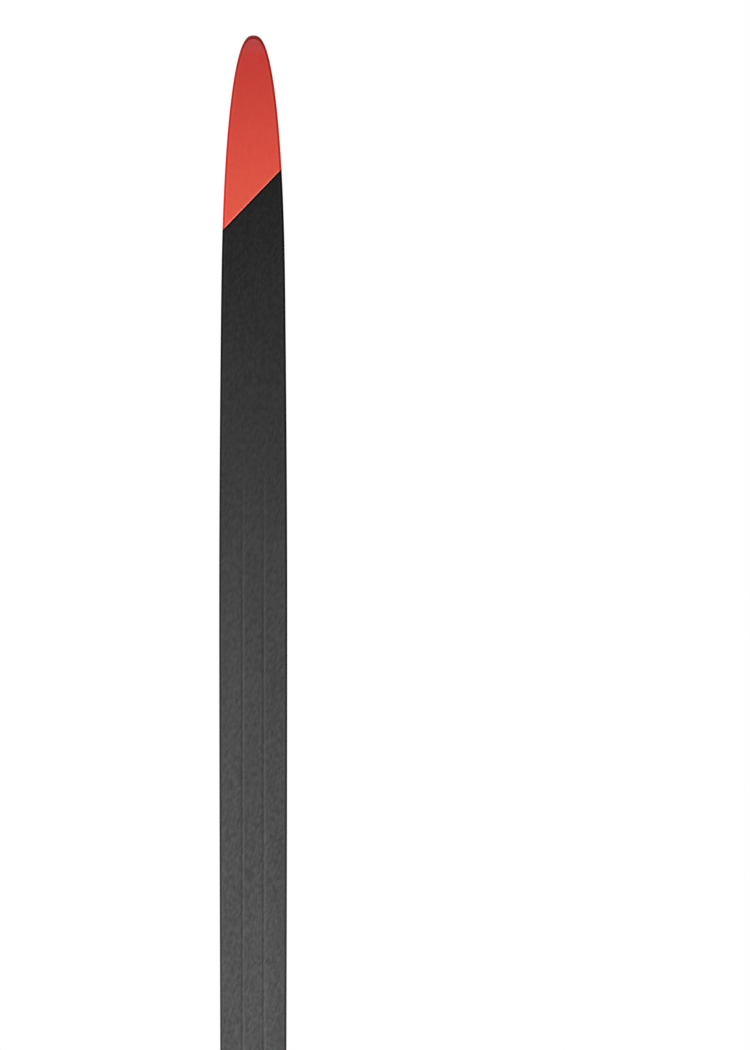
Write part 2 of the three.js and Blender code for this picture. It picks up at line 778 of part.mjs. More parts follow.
// A coil around an axis along the ski: a six-sided wire swept along a helix.
function jawSpring() {
  const startX = TAB_REAR_X + TAB_THICKNESS + PLAY + SPRING_WIRE_RADIUS;
  const endX = SPRING_STOP_X - PLAY - SPRING_WIRE_RADIUS;
  const steps = SPRING_TURNS * SPRING_TURN_STEPS;
  const rings = [];
  for (let i = 0; i <= steps; i++) {
    const turn = (2 * Math.PI * i) / SPRING_TURN_STEPS;
    const middleX = startX + ((endX - startX) * i) / steps;
    const ring = [];
    for (let k = 0; k < SPRING_WIRE_SIDES; k++) {
      const around = (-2 * Math.PI * k) / SPRING_WIRE_SIDES;
      const radius = SPRING_RADIUS + SPRING_WIRE_RADIUS * Math.cos(around);
      const x = middleX + SPRING_WIRE_RADIUS * Math.sin(around);
      ring.push([x, radius * Math.cos(turn), SPRING_Z + radius * Math.sin(turn)]);
    }
    rings.push(ring);
  }
  return loft(rings);
}

function flexor() {
  const bottom = DECK_TOP + PLAY;
  const top = bottom + FLEXOR_RIBS * FLEXOR_RIB_HEIGHT;
  const face = [];
  for (let i = 0; i < FLEXOR_RIBS; i++) {
    const low = bottom + i * FLEXOR_RIB_HEIGHT;
    const ribTop = low + FLEXOR_RIB_HEIGHT / 2;
    face.push([0, low], [0, ribTop], [FLEXOR_RIB_DEPTH, ribTop + FLEXOR_RIB_RAMP]);
  }
  face.push([FLEXOR_RIB_DEPTH, top], [FLEXOR_CROWN_INSET, top + FLEXOR_CROWN]);
  const rear = face.map(([inset, z]) => [FLEXOR_REAR_X + inset, z]);
  const front = face.map(([inset, z]) => [FLEXOR_FRONT_X - inset, z]);
  return prismAcross([...front, ...rear.reverse()], -FLEXOR_HALF, FLEXOR_HALF);
}

function leverPin() {
  return rodAcross(LEVER_X, LEVER_Z, LEVER_PIN_RADIUS, LEVER_PIN_HALF, PIN_SIDES);
}

function lever() {
  const camBottom = LEVER_Z - CAM_LENGTH;
  const camRearX = LEVER_X - CAM_THICKNESS / 2;
  const body = join(
    prismAcross(fromBar(ARM_VIEW), -LEVER_HUB_HALF, LEVER_HUB_HALF),
    prismAcross(fromBar(GRIP_VIEW), -LEVER_GRIP_HALF, LEVER_GRIP_HALF),
    rodAcross(LEVER_X, LEVER_Z, LEVER_HUB_RADIUS, LEVER_HUB_HALF, ROUND_SIDES),
    box(camRearX, camRearX + CAM_THICKNESS, -CAM_HALF, CAM_HALF, camBottom, LEVER_Z),
  );
  return cut(body, rodAcross(LEVER_X, LEVER_Z, LEVER_PIN_RADIUS + PLAY, UNIT_HALF, PIN_SIDES));
}

function latch(pivotX) {
  const bottom = LATCH_Z - LATCH_HUB_RADIUS;
  const toothX = pivotX + LATCH_TOOTH_X;
  const toothBottom = PLATE_TOP + LATCH_TOOTH_GAP;
  const endX = pivotX + LATCH_LENGTH;
  const tabTop = LATCH_PLATE_TOP + LATCH_TAB_HEIGHT;
  const points = [
    [pivotX, bottom],
    [toothX - LATCH_TOOTH_ROOT, bottom],
    [toothX - LATCH_TOOTH_TIP, toothBottom],
    [toothX + LATCH_TOOTH_TIP, toothBottom],
    [toothX + LATCH_TOOTH_ROOT, bottom],
    [endX, bottom],
    [endX, tabTop],
    [endX - LATCH_TAB_TOP, tabTop],
    [endX - LATCH_TAB_FOOT, LATCH_PLATE_TOP],
    [pivotX, LATCH_PLATE_TOP],
  ];
  const body = join(
    prismAcross(points, -LATCH_HALF, LATCH_HALF),
    rodAcross(pivotX, LATCH_Z, LATCH_HUB_RADIUS, LATCH_HALF, ROUND_SIDES),
  );
  return cut(body, latchBore(pivotX));
}

function latchPin(pivotX) {
  return rodAcross(pivotX, LATCH_Z, LATCH_PIN_RADIUS, LATCH_PIN_HALF, PIN_SIDES);
}

function heelChassis() {
  const ridgeFrontX = HEEL_FRONT_X - RIDGE_SETBACK;
  const body = join(
    slidingDeck(HEEL_REAR_X, HEEL_FRONT_X),
    guideRidge(HEEL_RIDGE_REAR_X, ridgeFrontX, 1),
    guideRidge(HEEL_RIDGE_REAR_X, ridgeFrontX, -1),
  );
  return cut(body, latchWindow(HEEL_LATCH_X), latchBore(HEEL_LATCH_X));
}

function heelPad() {
  const bottom = DECK_TOP + PLAY;
  const top = bottom + HEEL_PAD_HEIGHT;
  const points = [
    [HEEL_PAD_REAR_X, bottom],
    [HEEL_PAD_FRONT_X, bottom],
    [HEEL_PAD_FRONT_X, top - HEEL_PAD_CHAMFER],
    [HEEL_PAD_FRONT_X - HEEL_PAD_CHAMFER, top],
    [HEEL_PAD_REAR_X + HEEL_PAD_CHAMFER, top],
    [HEEL_PAD_REAR_X, top - HEEL_PAD_CHAMFER],
  ];
  return prismAcross(points, -HEEL_PAD_HALF, HEEL_PAD_HALF);
}

// ---------------------------------------------------------------- assembly

function material(color, roughness, metalness = 0) {
  return new THREE.MeshStandardMaterial({ color, roughness, metalness });
}

const BLACK_BASE = material(0x2c2d2e, 0.45);
const RED_BASE = material(0xc8322a, 0.42);
const CARBON = material(0x151617, 0.4);
const HONEYCOMB = material(0xc9b37a, 0.9);
const WOOD = material(0xb98a55, 0.7);
const SIDEWALL = material(0x161616, 0.5);
const SPACER = material(0xd1766f, 0.5);
const ALLOY = material(0x9a9da0, 0.35, 0.9);
const TOP_SKIN = material(0x1b1c1e, 0.3);
const PLATE = material(0x2a2b2d, 0.5);
const HOUSING = material(0x17181a, 0.45);
const STEEL = material(0x8e9194, 0.35, 1);
const RUBBER = material(0x1d1d1e, 0.85);
const RED_PLASTIC = material(0xb92a24, 0.4);

const ski = new THREE.Group();

function place(name, solid, finish) {
  const mesh = new THREE.Mesh(toGeometry(solid), finish);
  mesh.name = name;
  ski.add(mesh);
}

place("running_base", runningBase(), BLACK_BASE);
place("tip_base", tipBase(), RED_BASE);
place("lower_laminate", lowerLaminate(), CARBON);
place("honeycomb_core", honeycombCore(), HONEYCOMB);
place("stringer_left", stringer(1), WOOD);
place("stringer_right", stringer(-1), WOOD);
place("sidewall_left", sidewall(1), SIDEWALL);
place("sidewall_right", sidewall(-1), SIDEWALL);
place("tip_spacer", spacer(TIP_SPACER_REAR_X, TIP_X), SPACER);
place("tail_spacer", spacer(TAIL_X + PROTECTOR_LENGTH + END_GAP, TAIL_SPACER_FRONT_X), SPACER);
place("tail_protector", tailProtector(), SPACER);
place("binding_reinforcement", bindingReinforcement(), ALLOY);
place("upper_laminate", upperLaminate(), CARBON);
place("top_sheet", topSheet(), TOP_SKIN);
place("binding_plate", bindingPlate(), PLATE);
place("toe_chassis", toeChassis(), HOUSING);
place("bar_seat", barSeat(), STEEL);
place("jaw", jaw(), STEEL);
place("jaw_spring", jawSpring(), STEEL);
place("flexor", flexor(), RUBBER);
place("lever", lever(), RED_PLASTIC);
place("lever_pin", leverPin(), STEEL);
place("toe_latch", latch(TOE_LATCH_X), RED_PLASTIC);
place("toe_latch_pin", latchPin(TOE_LATCH_X), STEEL);
place("heel_chassis", heelChassis(), HOUSING);
place("heel_pad", heelPad(), RUBBER);
place("heel_latch", latch(HEEL_LATCH_X), RED_PLASTIC);
place("heel_latch_pin", latchPin(HEEL_LATCH_X), STEEL);

export default ski;
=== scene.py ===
import json
import math

import bmesh
import bpy
from mathutils import Matrix, Vector


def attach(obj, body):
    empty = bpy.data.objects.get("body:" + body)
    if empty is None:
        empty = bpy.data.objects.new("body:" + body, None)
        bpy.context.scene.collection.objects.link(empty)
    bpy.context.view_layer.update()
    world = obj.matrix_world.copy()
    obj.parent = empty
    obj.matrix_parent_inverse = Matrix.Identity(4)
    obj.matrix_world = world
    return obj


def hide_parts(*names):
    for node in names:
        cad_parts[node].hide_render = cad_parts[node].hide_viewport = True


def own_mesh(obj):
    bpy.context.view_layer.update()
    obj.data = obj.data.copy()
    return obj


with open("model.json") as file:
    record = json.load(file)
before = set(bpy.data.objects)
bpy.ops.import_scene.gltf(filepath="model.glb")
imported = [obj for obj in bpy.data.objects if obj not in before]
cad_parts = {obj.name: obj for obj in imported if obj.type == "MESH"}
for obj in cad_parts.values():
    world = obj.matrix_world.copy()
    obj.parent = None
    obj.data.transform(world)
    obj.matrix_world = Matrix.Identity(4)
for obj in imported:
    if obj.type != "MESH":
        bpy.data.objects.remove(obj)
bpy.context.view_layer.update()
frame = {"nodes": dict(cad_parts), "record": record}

MM = 0.001

# ---------------------------------------------------------------- camera, light and floor

# The camera looks straight up at the running base of the front third, with the tip at the top of the picture.
CAMERA_DISTANCE = 18
CAMERA_REACH = 180  # the camera sees nothing that is farther off
CAMERA_SENSOR = 36
VIEW_LENGTH = 0.693  # the stretch of the ski's plane that the picture's long side takes in
VIEW_X = 0.6059  # the middle of the picture
VIEW_Y = 0.0804

WHITE = (1, 1, 1, 1)
WORLD_BELOW = 0.0
WORLD_ABOVE = 0.75
# Heights on a sphere of radius 1, between which the light from below turns into the light from above.
WORLD_LOW = -0.02
WORLD_HIGH = 0.4

BELOW_COUNT = 3
BELOW_REAR_X = 0.15
BELOW_GAP = 0.25  # from the first light to the second: each gap is twice the one before
BELOW_Y = -0.1
BELOW_Z = -0.6
BELOW_SIZE = (0.4, 0.4)
BELOW_POWER = 8.3  # of the rearmost light, in watts
BELOW_FALL = 0.4  # each light's power as a share of the last one's
ABOVE_PLACE = (0.6, -1.6, 2.2)
ABOVE_AIM = (0, 0, 0)
ABOVE_SIZE = (1.6, 1.2)
ABOVE_POWER = 30

FLOOR_SIZE = 60
FLOOR_GAP = 0.0002  # how far the floor lies below the ski
FLOOR_COLOUR = (0.8, 0.8, 0.8, 1)


def add(tree, kind, settings=None, inputs=None):
    """Adds a shader node. Settings are its own properties, inputs are values or the sockets that feed it."""
    made = tree.nodes.new(kind)
    for name, value in (settings or {}).items():
        setattr(made, name, value)
    for name, value in (inputs or {}).items():
        socket = made.inputs[name]
        if isinstance(value, bpy.types.NodeSocket):
            tree.links.new(value, socket)
        else:
            socket.default_value = value
    return made


def mix_shaders(tree, share, start, end):
    """Start and end are shader nodes."""
    made = add(tree, "ShaderNodeMixShader", inputs={0: share, 1: start.outputs[0], 2: end.outputs[0]})
    return made.outputs[0]


def make_camera():
    data = bpy.data.cameras.new("camera")
    data.sensor_width = CAMERA_SENSOR
    data.lens = CAMERA_SENSOR * CAMERA_DISTANCE / VIEW_LENGTH
    data.clip_end = CAMERA_REACH
    camera = bpy.data.objects.new("camera", data)
    camera.location = (VIEW_X, VIEW_Y, -CAMERA_DISTANCE)
    camera.rotation_euler = (math.pi, 0, math.pi / 2)
    bpy.context.collection.objects.link(camera)
    bpy.context.scene.camera = camera
    bpy.context.scene.view_settings.view_transform = "Standard"


def make_world():
    """Pure white to the camera, and soft light from above for everything else."""
    world = bpy.data.worlds.new("studio")
    bpy.context.scene.world = world
    world.use_nodes = True
    tree = world.node_tree
    tree.nodes.clear()
    direction = add(tree, "ShaderNodeTexCoord")
    parts = add(tree, "ShaderNodeSeparateXYZ", inputs={"Vector": direction.outputs["Generated"]})
    heights = {"Value": parts.outputs["Z"], "From Min": WORLD_LOW, "From Max": WORLD_HIGH}
    strengths = {"To Min": WORLD_BELOW, "To Max": WORLD_ABOVE}
    level = add(tree, "ShaderNodeMapRange", {"interpolation_type": "SMOOTHSTEP"}, heights | strengths)
    soft = add(tree, "ShaderNodeBackground", inputs={"Color": WHITE, "Strength": level.outputs["Result"]})
    plain = add(tree, "ShaderNodeBackground", inputs={"Color": WHITE, "Strength": 1})
    path = add(tree, "ShaderNodeLightPath")
    mixed = mix_shaders(tree, path.outputs["Is Camera Ray"], soft, plain)
    add(tree, "ShaderNodeOutputWorld", inputs={"Surface": mixed})


def softbox(name, place, aim, size, power):
    data = bpy.data.lights.new(name, "AREA")
    data.shape = "RECTANGLE"
    data.size, data.size_y = size
    data.energy = power
    light = bpy.data.objects.new(name, data)
    light.location = place
    light.rotation_euler = (Vector(aim) - Vector(place)).to_track_quat("-Z", "Y").to_euler()
    light.visible_camera = False
    bpy.context.collection.objects.link(light)


def make_lights():
    """A row of soft lights under the base, strongest to the rear, and one over the top sheet."""
    for i in range(BELOW_COUNT):
        x = BELOW_REAR_X + BELOW_GAP * (2**i - 1)
        softbox(f"below_{i}", (x, BELOW_Y, BELOW_Z), (x, 0, 0), BELOW_SIZE, BELOW_POWER * BELOW_FALL**i)
    softbox("above", ABOVE_PLACE, ABOVE_AIM, ABOVE_SIZE, ABOVE_POWER)


def make_floor():
    """A pale floor that shows only from above, so that the base can be looked at and lit from below."""
    half = FLOOR_SIZE / 2
    corners = [(-half, -half, 0), (half, -half, 0), (half, half, 0), (-half, half, 0)]
    mesh = bpy.data.meshes.new("floor")
    mesh.from_pydata(corners, [], [(0, 1, 2, 3)])
    floor = bpy.data.objects.new("floor", mesh)
    floor.location.z = -FLOOR_GAP
    bpy.context.collection.objects.link(floor)
    floor.visible_shadow = False
    floor.visible_diffuse = False
    floor.visible_glossy = False
    floor.visible_transmission = False
    mat = bpy.data.materials.new("floor")
    mat.use_nodes = True
    tree = mat.node_tree
    tree.nodes.clear()
    side = add(tree, "ShaderNodeNewGeometry")
    pale = add(tree, "ShaderNodeBsdfDiffuse", inputs={"Color": FLOOR_COLOUR})
    clear = add(tree, "ShaderNodeBsdfTransparent")
    mixed = mix_shaders(tree, side.outputs["Backfacing"], pale, clear)
    add(tree, "ShaderNodeOutputMaterial", inputs={"Surface": mixed})
    mesh.materials.append(mat)


# ---------------------------------------------------------------- shape of the ski, in millimetres

TIP_X = 930
TAIL_X = -930
SHOVEL_WIDTH = 45
SHOVEL_LENGTH = 372
SHOVEL_TAPER = 7.7
SHOVEL_TAPER_POWER = 1.72
POINT_LENGTH = 176.6
POINT_POWER = 2.5
POINT_ROOT = 2.57
WAIST_WIDTH = 43
WAIST_X = 40
TAIL_WIDTH = 44.3
TAIL_SHOULDER_X = -790
TAIL_TAPER = 3.2
TAIL_TAPER_POWER = 2
TAIL_CORNER = 24
TAIL_CORNER_POWER = 3
TINY = 0.02  # the outline's direction at the very ends is taken this far in

CAMBER = 22
CAMBER_X = -80
CAMBER_HALF = 720
CAMBER_POWER = 2.6
CAMBER_EASE = 2  # how softly the arch meets the floor
FRONT_CONTACT_X = CAMBER_X + CAMBER_HALF
REAR_CONTACT_X = CAMBER_X - CAMBER_HALF
TIP_RISE = 50
TIP_RISE_POWER = 2.6
TAIL_RISE = 10
TAIL_RISE_POWER = 2
MIDDLE_THICKNESS = 27
TIP_THICKNESS = 6.5
TAIL_THICKNESS = 7
THICK_FRONT_X = 110
THICK_REAR_X = -320
THIN_FRONT_X = 700
THIN_REAR_X = -880

BOND = 0.1
BASE_THICKNESS = 1.3
BASE_BEVEL = 1.4
BASE_BEVEL_HEIGHT = 1.05
BASE_SOFT = 0.15  # rounding at both edges of the bevel
BASE_SOFT_STEPS = 2
LAMINATE_THICKNESS = 0.6
LAMINATE_BOTTOM = BASE_THICKNESS + BOND
CORE_BOTTOM = LAMINATE_BOTTOM + LAMINATE_THICKNESS + BOND
TOP_SHEET_THICKNESS = 0.8
UPPER_LAMINATE_DEPTH = TOP_SHEET_THICKNESS + BOND
CORE_DEPTH = UPPER_LAMINATE_DEPTH + LAMINATE_THICKNESS + BOND
SHOULDER = 2.4
SHOULDER_SOFT = 0.8  # how far the rounding of the top edge reaches each way
SIDEWALL_WIDTH = 3
SIDEWALL_SOFT = 0.4
STRINGER_WIDTH = 4
SIDE_GAP = 0.2
TIP_SPACER_REAR_X = 780
TAIL_SPACER_FRONT_X = -820
END_GAP = 0.3
PROTECTOR_LENGTH = 8
REINFORCEMENT_FRONT_X = 130
REINFORCEMENT_REAR_X = -340
REINFORCEMENT_THICKNESS = 1.2

INLAY_JOINT_X = 821.5  # where the slanting joint in the base crosses the centreline
JOINT_SLOPE = 1.04  # how far forward the joint runs for each unit to the left
SHEAR_LENGTH = 85  # over which the base's sections turn from square to slanting
SLANT_ROUNDS = 8  # rounds of the search for a point of a slanting section
SEAM_WIDTH = 1.1  # of the painted highlight on the red side of the joint, and of the dark line on the black side
SEAM_FADE = 0.55  # over which that line fades
SEAM_CLEAR = 3.3  # no other section falls this close to the joint
TIP_SETBACK = 1  # how far the base and the lower laminate stop short of the very tip
TIP_SETBACK_LENGTH = 9
TIP_SHEEN_LENGTH = 14  # of the painted sheen at the tip of the base
RIM_SHADE_FADE_X = 260  # the painted shade on the black base's rim grows paler from the joint to here
GROOVE_Y = 7
GROOVE_HALF = 1.5
GROOVE_DEPTH = 0.16
GROOVE_MARGIN = 0.3
GROOVE_HIGHLIGHT = 0.5  # painted highlight on the left half of each groove
RIM_HIGHLIGHT = 0.35  # painted highlight in a band inside each rim
RIM_HIGHLIGHT_WIDTH = 1.1
GROOVE_FRONT_X = 633
GROOVE_REAR_X = -770
GROOVE_FADE = 90
GROOVE_START = 0.45  # share of its full depth that a groove starts with

STATION_STEP = 9
POINT_STATIONS = 44
POINT_SPREAD = 2.6
POINT_FINE = POINT_LENGTH / 3  # nearer to the tip than this, the even steps stop
CORNER_STATIONS = 22
CORNER_SPREAD = 3
ROUND_STEPS = 4
GROOVE_STEPS = 8
SMOOTH_ANGLE = math.radians(28)


def ease(start, end, share):
    return start + (end - start) * (1 - math.cos(math.pi * share)) / 2


def clamp(value, low, high):
    return max(low, min(high, value))


def width_at(x):
    from_tip = TIP_X - x
    from_tail = x - TAIL_X
    if from_tip < SHOVEL_LENGTH:
        taper = SHOVEL_TAPER * (1 - from_tip / SHOVEL_LENGTH) ** SHOVEL_TAPER_POWER
        point = 1 - max(0, 1 - from_tip / POINT_LENGTH) ** POINT_POWER
        return (SHOVEL_WIDTH - taper) * point ** (1 / POINT_ROOT)
    if x > WAIST_X:
        return ease(WAIST_WIDTH, SHOVEL_WIDTH, (x - WAIST_X) / (TIP_X - SHOVEL_LENGTH - WAIST_X))
    if x > TAIL_SHOULDER_X:
        return ease(TAIL_WIDTH, WAIST_WIDTH, (x - TAIL_SHOULDER_X) / (WAIST_X - TAIL_SHOULDER_X))
    taper = TAIL_TAPER * (1 - from_tail / (TAIL_SHOULDER_X - TAIL_X)) ** TAIL_TAPER_POWER
    corner = 1 - max(0, 1 - from_tail / TAIL_CORNER) ** TAIL_CORNER_POWER
    return (TAIL_WIDTH - taper) * corner ** (1 / TAIL_CORNER_POWER)


def outline_at(x):
    """Half the width at x, and the outline's outward normal there."""
    reach = TINY / 2
    at = clamp(x, TAIL_X + TINY, TIP_X - TINY)
    slope = (width_at(at + reach) - width_at(at - reach)) / 2 / TINY
    length = math.hypot(1, slope)
    return width_at(at) / 2, -slope / length, 1 / length


def base_at(x):
    """Height of the running surface above the floor."""
    if x > FRONT_CONTACT_X:
        return TIP_RISE * ((x - FRONT_CONTACT_X) / (TIP_X - FRONT_CONTACT_X)) ** TIP_RISE_POWER
    if x < REAR_CONTACT_X:
        return TAIL_RISE * ((REAR_CONTACT_X - x) / (REAR_CONTACT_X - TAIL_X)) ** TAIL_RISE_POWER
    share = abs(x - CAMBER_X) / CAMBER_HALF
    return CAMBER * (1 - share**CAMBER_POWER) ** CAMBER_EASE


def thickness_at(x):
    if x > THICK_FRONT_X:
        share = min(1, (x - THICK_FRONT_X) / (THIN_FRONT_X - THICK_FRONT_X))
        return ease(MIDDLE_THICKNESS, TIP_THICKNESS, share)
    share = clamp((THICK_REAR_X - x) / (THICK_REAR_X - THIN_REAR_X), 0, 1)
    return ease(MIDDLE_THICKNESS, TAIL_THICKNESS, share)


def ski_point(x, side, inset, height):
    """A point at an inset from the outline, on the rider's left for side 1 and right for side -1."""
    half, normal_x, normal_y = outline_at(x)
    in_x = x - inset * normal_x
    return in_x, side * (half - inset * normal_y), base_at(in_x) + height


def all_stations():
    """Places along the ski that every layer shares: even steps, and closer ones at the tip and the tail."""
    keys = [
        TAIL_X + TAIL_CORNER,
        TAIL_SPACER_FRONT_X,
        TAIL_SPACER_FRONT_X + END_GAP,
        REAR_CONTACT_X,
        GROOVE_REAR_X,
        REINFORCEMENT_REAR_X,
        REINFORCEMENT_FRONT_X,
        GROOVE_FRONT_X,
        FRONT_CONTACT_X,
        TIP_X - POINT_LENGTH,
        TIP_SPACER_REAR_X - END_GAP,
        TIP_SPACER_REAR_X,
        TIP_X - POINT_FINE,
    ]
    places = {TAIL_X + PROTECTOR_LENGTH, TAIL_X + PROTECTOR_LENGTH + END_GAP, *keys}
    for start, end in zip(keys, keys[1:]):
        steps = math.ceil((end - start) / STATION_STEP)
        places.update(start + (end - start) * i / steps for i in range(1, steps))
    for i in range(POINT_STATIONS):
        places.add(TIP_X - POINT_LENGTH * (i / POINT_STATIONS) ** POINT_SPREAD)
    for i in range(CORNER_STATIONS):
        places.add(TAIL_X + TAIL_CORNER * (i / CORNER_STATIONS) ** CORNER_SPREAD)
    return sorted(places)


def stations(rear, front):
    return sorted({rear, front} | {x for x in STATIONS if rear < x < front})


def soft_corner(before, corner, after, reach, steps=ROUND_STEPS):
    """Points of a smooth curve in place of a corner. It starts and ends at a reach from the corner."""
    corner = Vector(corner)
    start = corner + (Vector(before) - corner).normalized() * reach
    end = corner + (Vector(after) - corner).normalized() * reach
    made = []
    for i in range(steps + 1):
        share = i / steps
        point = start * (1 - share) ** 2 + corner * 2 * share * (1 - share) + end * share**2
        made.append(tuple(point))
    return made


STATIONS = all_stations()

# ---------------------------------------------------------------- meshes

def finish_mesh(name, bm):
    """Turns a bmesh into a mesh in metres, with its faces pointing out and its soft edges shaded smooth."""
    bmesh.ops.recalc_face_normals(bm, faces=bm.faces)
    mesh = bpy.data.meshes.new(name)
    bm.to_mesh(mesh)
    bm.free()
    mesh.polygons.foreach_set("use_smooth", [True] * len(mesh.polygons))
    mesh.set_sharp_from_angle(angle=SMOOTH_ANGLE)
    return mesh


def close_end(bm, ring, in_strips):
    """Closes an end in one face, or in strips from side to side where the ring's halves mirror each other."""
    if not in_strips:
        bm.faces.new(ring)
        return
    mirrored = ring[::-1]
    for i in range(len(ring) // 2 - 1):
        bm.faces.new([ring[i], ring[i + 1], mirrored[i + 1], mirrored[i]])


def loft(name, rings, marks=None, front_in_strips=False):
    """Skins a row of closed rings of points, which all have the same number of points, and closes both ends.
    Marks are named lists with one number for each point, and become attributes that a material can read."""
    marks = marks or {}
    bm = bmesh.new()
    for label in marks:
        bm.verts.layers.float.new(label)
    size = len(rings[0])
    verts = [bm.verts.new([value * MM for value in point]) for ring in rings for point in ring]
    for start in range(0, len(verts) - size, size):
        for i in range(size):
            a = start + i
            b = start + (i + 1) % size
            bm.faces.new([verts[a], verts[b], verts[b + size], verts[a + size]])
    close_end(bm, verts[:size], in_strips=False)
    close_end(bm, verts[-size:], in_strips=front_in_strips)
    for label in marks:
        for vert, value in zip(verts, marks[label]):
            vert[bm.verts.layers.float[label]] = value
    return finish_mesh(name, bm)


def set_back(point):
    """Moves a point near the tip rearwards, by the full setback at the very tip."""
    x, y, z = point
    share = clamp(1 - (TIP_X - x) / TIP_SETBACK_LENGTH, 0, 1)
    return x - ease(0, TIP_SETBACK, share), y, z


def full_layer(name, rear, front, right_side, set_back_tip=False):
    """A layer over the full width. right_side(x) lists (inset, height) from its lowest point up."""
    rings = []
    for x in stations(rear, front):
        side = right_side(x)
        left = [ski_point(x, 1, inset, height) for inset, height in side]
        right = [ski_point(x, -1, inset, height) for inset, height in side]
        ring = left + right[::-1]
        rings.append([set_back(point) for point in ring] if set_back_tip else ring)
    return loft(name, rings, front_in_strips=front == TIP_X)


def side_layer(name, rear, front, side, section):
    """A strip on one side. section(x) lists (inset, height) from its lowest outer point up and inwards."""
    rings = []
    for x in stations(rear, front):
        rings.append([ski_point(x, side, inset, height) for inset, height in section(x)])
    return loft(name, rings)


# ---------------------------------------------------------------- running base

def rim_profile():
    """(inset, height, rim shade, highlight) from the flat, over the bevelled rim of the base, to its top
    edge. Rim shade marks the painted shade on the bevel, and highlight a painted highlight in a band inside
    it.
    """
    points = [(BASE_BEVEL + RIM_HIGHLIGHT_WIDTH, 0, 0, 0), (BASE_BEVEL + RIM_HIGHLIGHT_WIDTH / 2, 0, 0, RIM_HIGHLIGHT)]
    flat_end = (BASE_BEVEL + BASE_SOFT, 0)
    bevel_start = (BASE_BEVEL, 0)
    bevel_end = (0, BASE_BEVEL_HEIGHT)
    top = (0, BASE_THICKNESS)
    first_round = soft_corner(flat_end, bevel_start, bevel_end, BASE_SOFT, BASE_SOFT_STEPS)
    second_round = soft_corner(bevel_start, bevel_end, top, BASE_SOFT, BASE_SOFT_STEPS)
    points += [(inset, height, min(i, 1), 0) for i, (inset, height) in enumerate(first_round)]
    points += [(inset, height, 1, 0) for inset, height in [*second_round, top]]
    return points


def slanted_point(place, shear, side, inset, height):
    """A point of a section that crosses the ski at a slant: forward by shear for each unit to the left.
    The less the section slants, the more its inset moves the point rearwards, as in the layers above."""
    x = place
    for _ in range(SLANT_ROUNDS):
        point_x, point_y, _ = ski_point(x, side, inset, height)
        moved = x - point_x
        x += place + shear * point_y - (1 - shear) * moved - point_x
    return ski_point(x, side, inset, height)


def groove_fade_at(x):
    from_end = min(GROOVE_FRONT_X - x, x - GROOVE_REAR_X)
    if from_end < -TINY:
        return 0
    return ease(GROOVE_START, 1, clamp(from_end / GROOVE_FADE, 0, 1))


def groove_points(place, shear):
    """The base's flat from the rider's left to right, as points and their painted highlight.
    The left half of each groove is painted brighter, as a highlight."""
    points = []
    burnish = []
    offsets = [GROOVE_HALF * (1 - 2 * i / GROOVE_STEPS) for i in range(GROOVE_STEPS + 1)]
    offsets = [GROOVE_HALF + GROOVE_MARGIN, *offsets, -GROOVE_HALF - GROOVE_MARGIN]
    for middle in (GROOVE_Y, -GROOVE_Y):
        for offset in offsets:
            x = place + shear * (middle + offset)
            share = clamp(offset / GROOVE_HALF, -1, 1)
            fade = groove_fade_at(x)
            depth = GROOVE_DEPTH * fade * (1 + math.cos(math.pi * share)) / 2
            points.append((x, middle + offset, base_at(x) + depth))
            burnish.append(fade * GROOVE_HIGHLIGHT * max(0, math.sin(math.pi * share)))
    return points, burnish


def seam_stations(joint, far):
    """Places from the joint to the far end of a sheet, with the seam's own narrow steps."""
    ahead = math.copysign(1, far - joint)
    places = [x for x in stations(min(joint, far), max(joint, far)) if abs(x - joint) > SEAM_CLEAR]
    places += [joint, joint + ahead * SEAM_WIDTH, joint + ahead * (SEAM_WIDTH + SEAM_FADE)]
    return sorted(places)


def shear_at(place, joint):
    return ease(JOINT_SLOPE, 0, clamp(abs(place - joint) / SHEAR_LENGTH, 0, 1))


def base_sheet(name, joint, far, seam_tone, grooved):
    """A sheet of the base, from its slanting joint to its far end.
    The seam's tone marks the line along the joint: 1 for a painted highlight and -1 for a dark line."""
    profile = rim_profile()
    side_rim_shades = [rim for _, _, rim, _ in profile]
    side_tones = [burnish for _, _, _, burnish in profile]
    rings = []
    rim_shades = []
    tones = []
    for place in seam_stations(joint, far):
        shear = shear_at(place, joint)
        left = [slanted_point(place, shear, 1, inset, height) for inset, height, _, _ in reversed(profile)]
        right = [slanted_point(place, shear, -1, inset, height) for inset, height, _, _ in profile]
        flat, flat_tones = groove_points(place, shear) if grooved else ([], [])
        rings.append([set_back(point) for point in left + flat + right])
        rim_shades += side_rim_shades[::-1] + [0] * len(flat) + side_rim_shades
        ring_tones = side_tones[::-1] + flat_tones + side_tones
        at_seam = abs(place - joint) < SEAM_WIDTH + SEAM_FADE / 2
        tones += [seam_tone] * len(ring_tones) if at_seam else ring_tones
    return loft(name, rings, {"rim": rim_shades, "burnish": tones}, front_in_strips=not grooved)


# ---------------------------------------------------------------- layers above the base

def outer_face(x, bottom, top_depth):
    """The outer face from its bottom up to a depth below the top, with its share of the sloping shoulder."""
    thickness = thickness_at(x)
    top = (SHOULDER - top_depth, thickness - top_depth)
    corner = soft_corner((0, bottom), (0, thickness - SHOULDER), top, SIDEWALL_SOFT)
    return [(0, bottom), *corner, top]


def lower_laminate_side(_):
    """The same all along the ski."""
    return [(0, LAMINATE_BOTTOM), (0, LAMINATE_BOTTOM + LAMINATE_THICKNESS)]


def upper_laminate_side(x):
    thickness = thickness_at(x)
    depths = (CORE_DEPTH - BOND, UPPER_LAMINATE_DEPTH)
    return [(SHOULDER - depth, thickness - depth) for depth in depths]


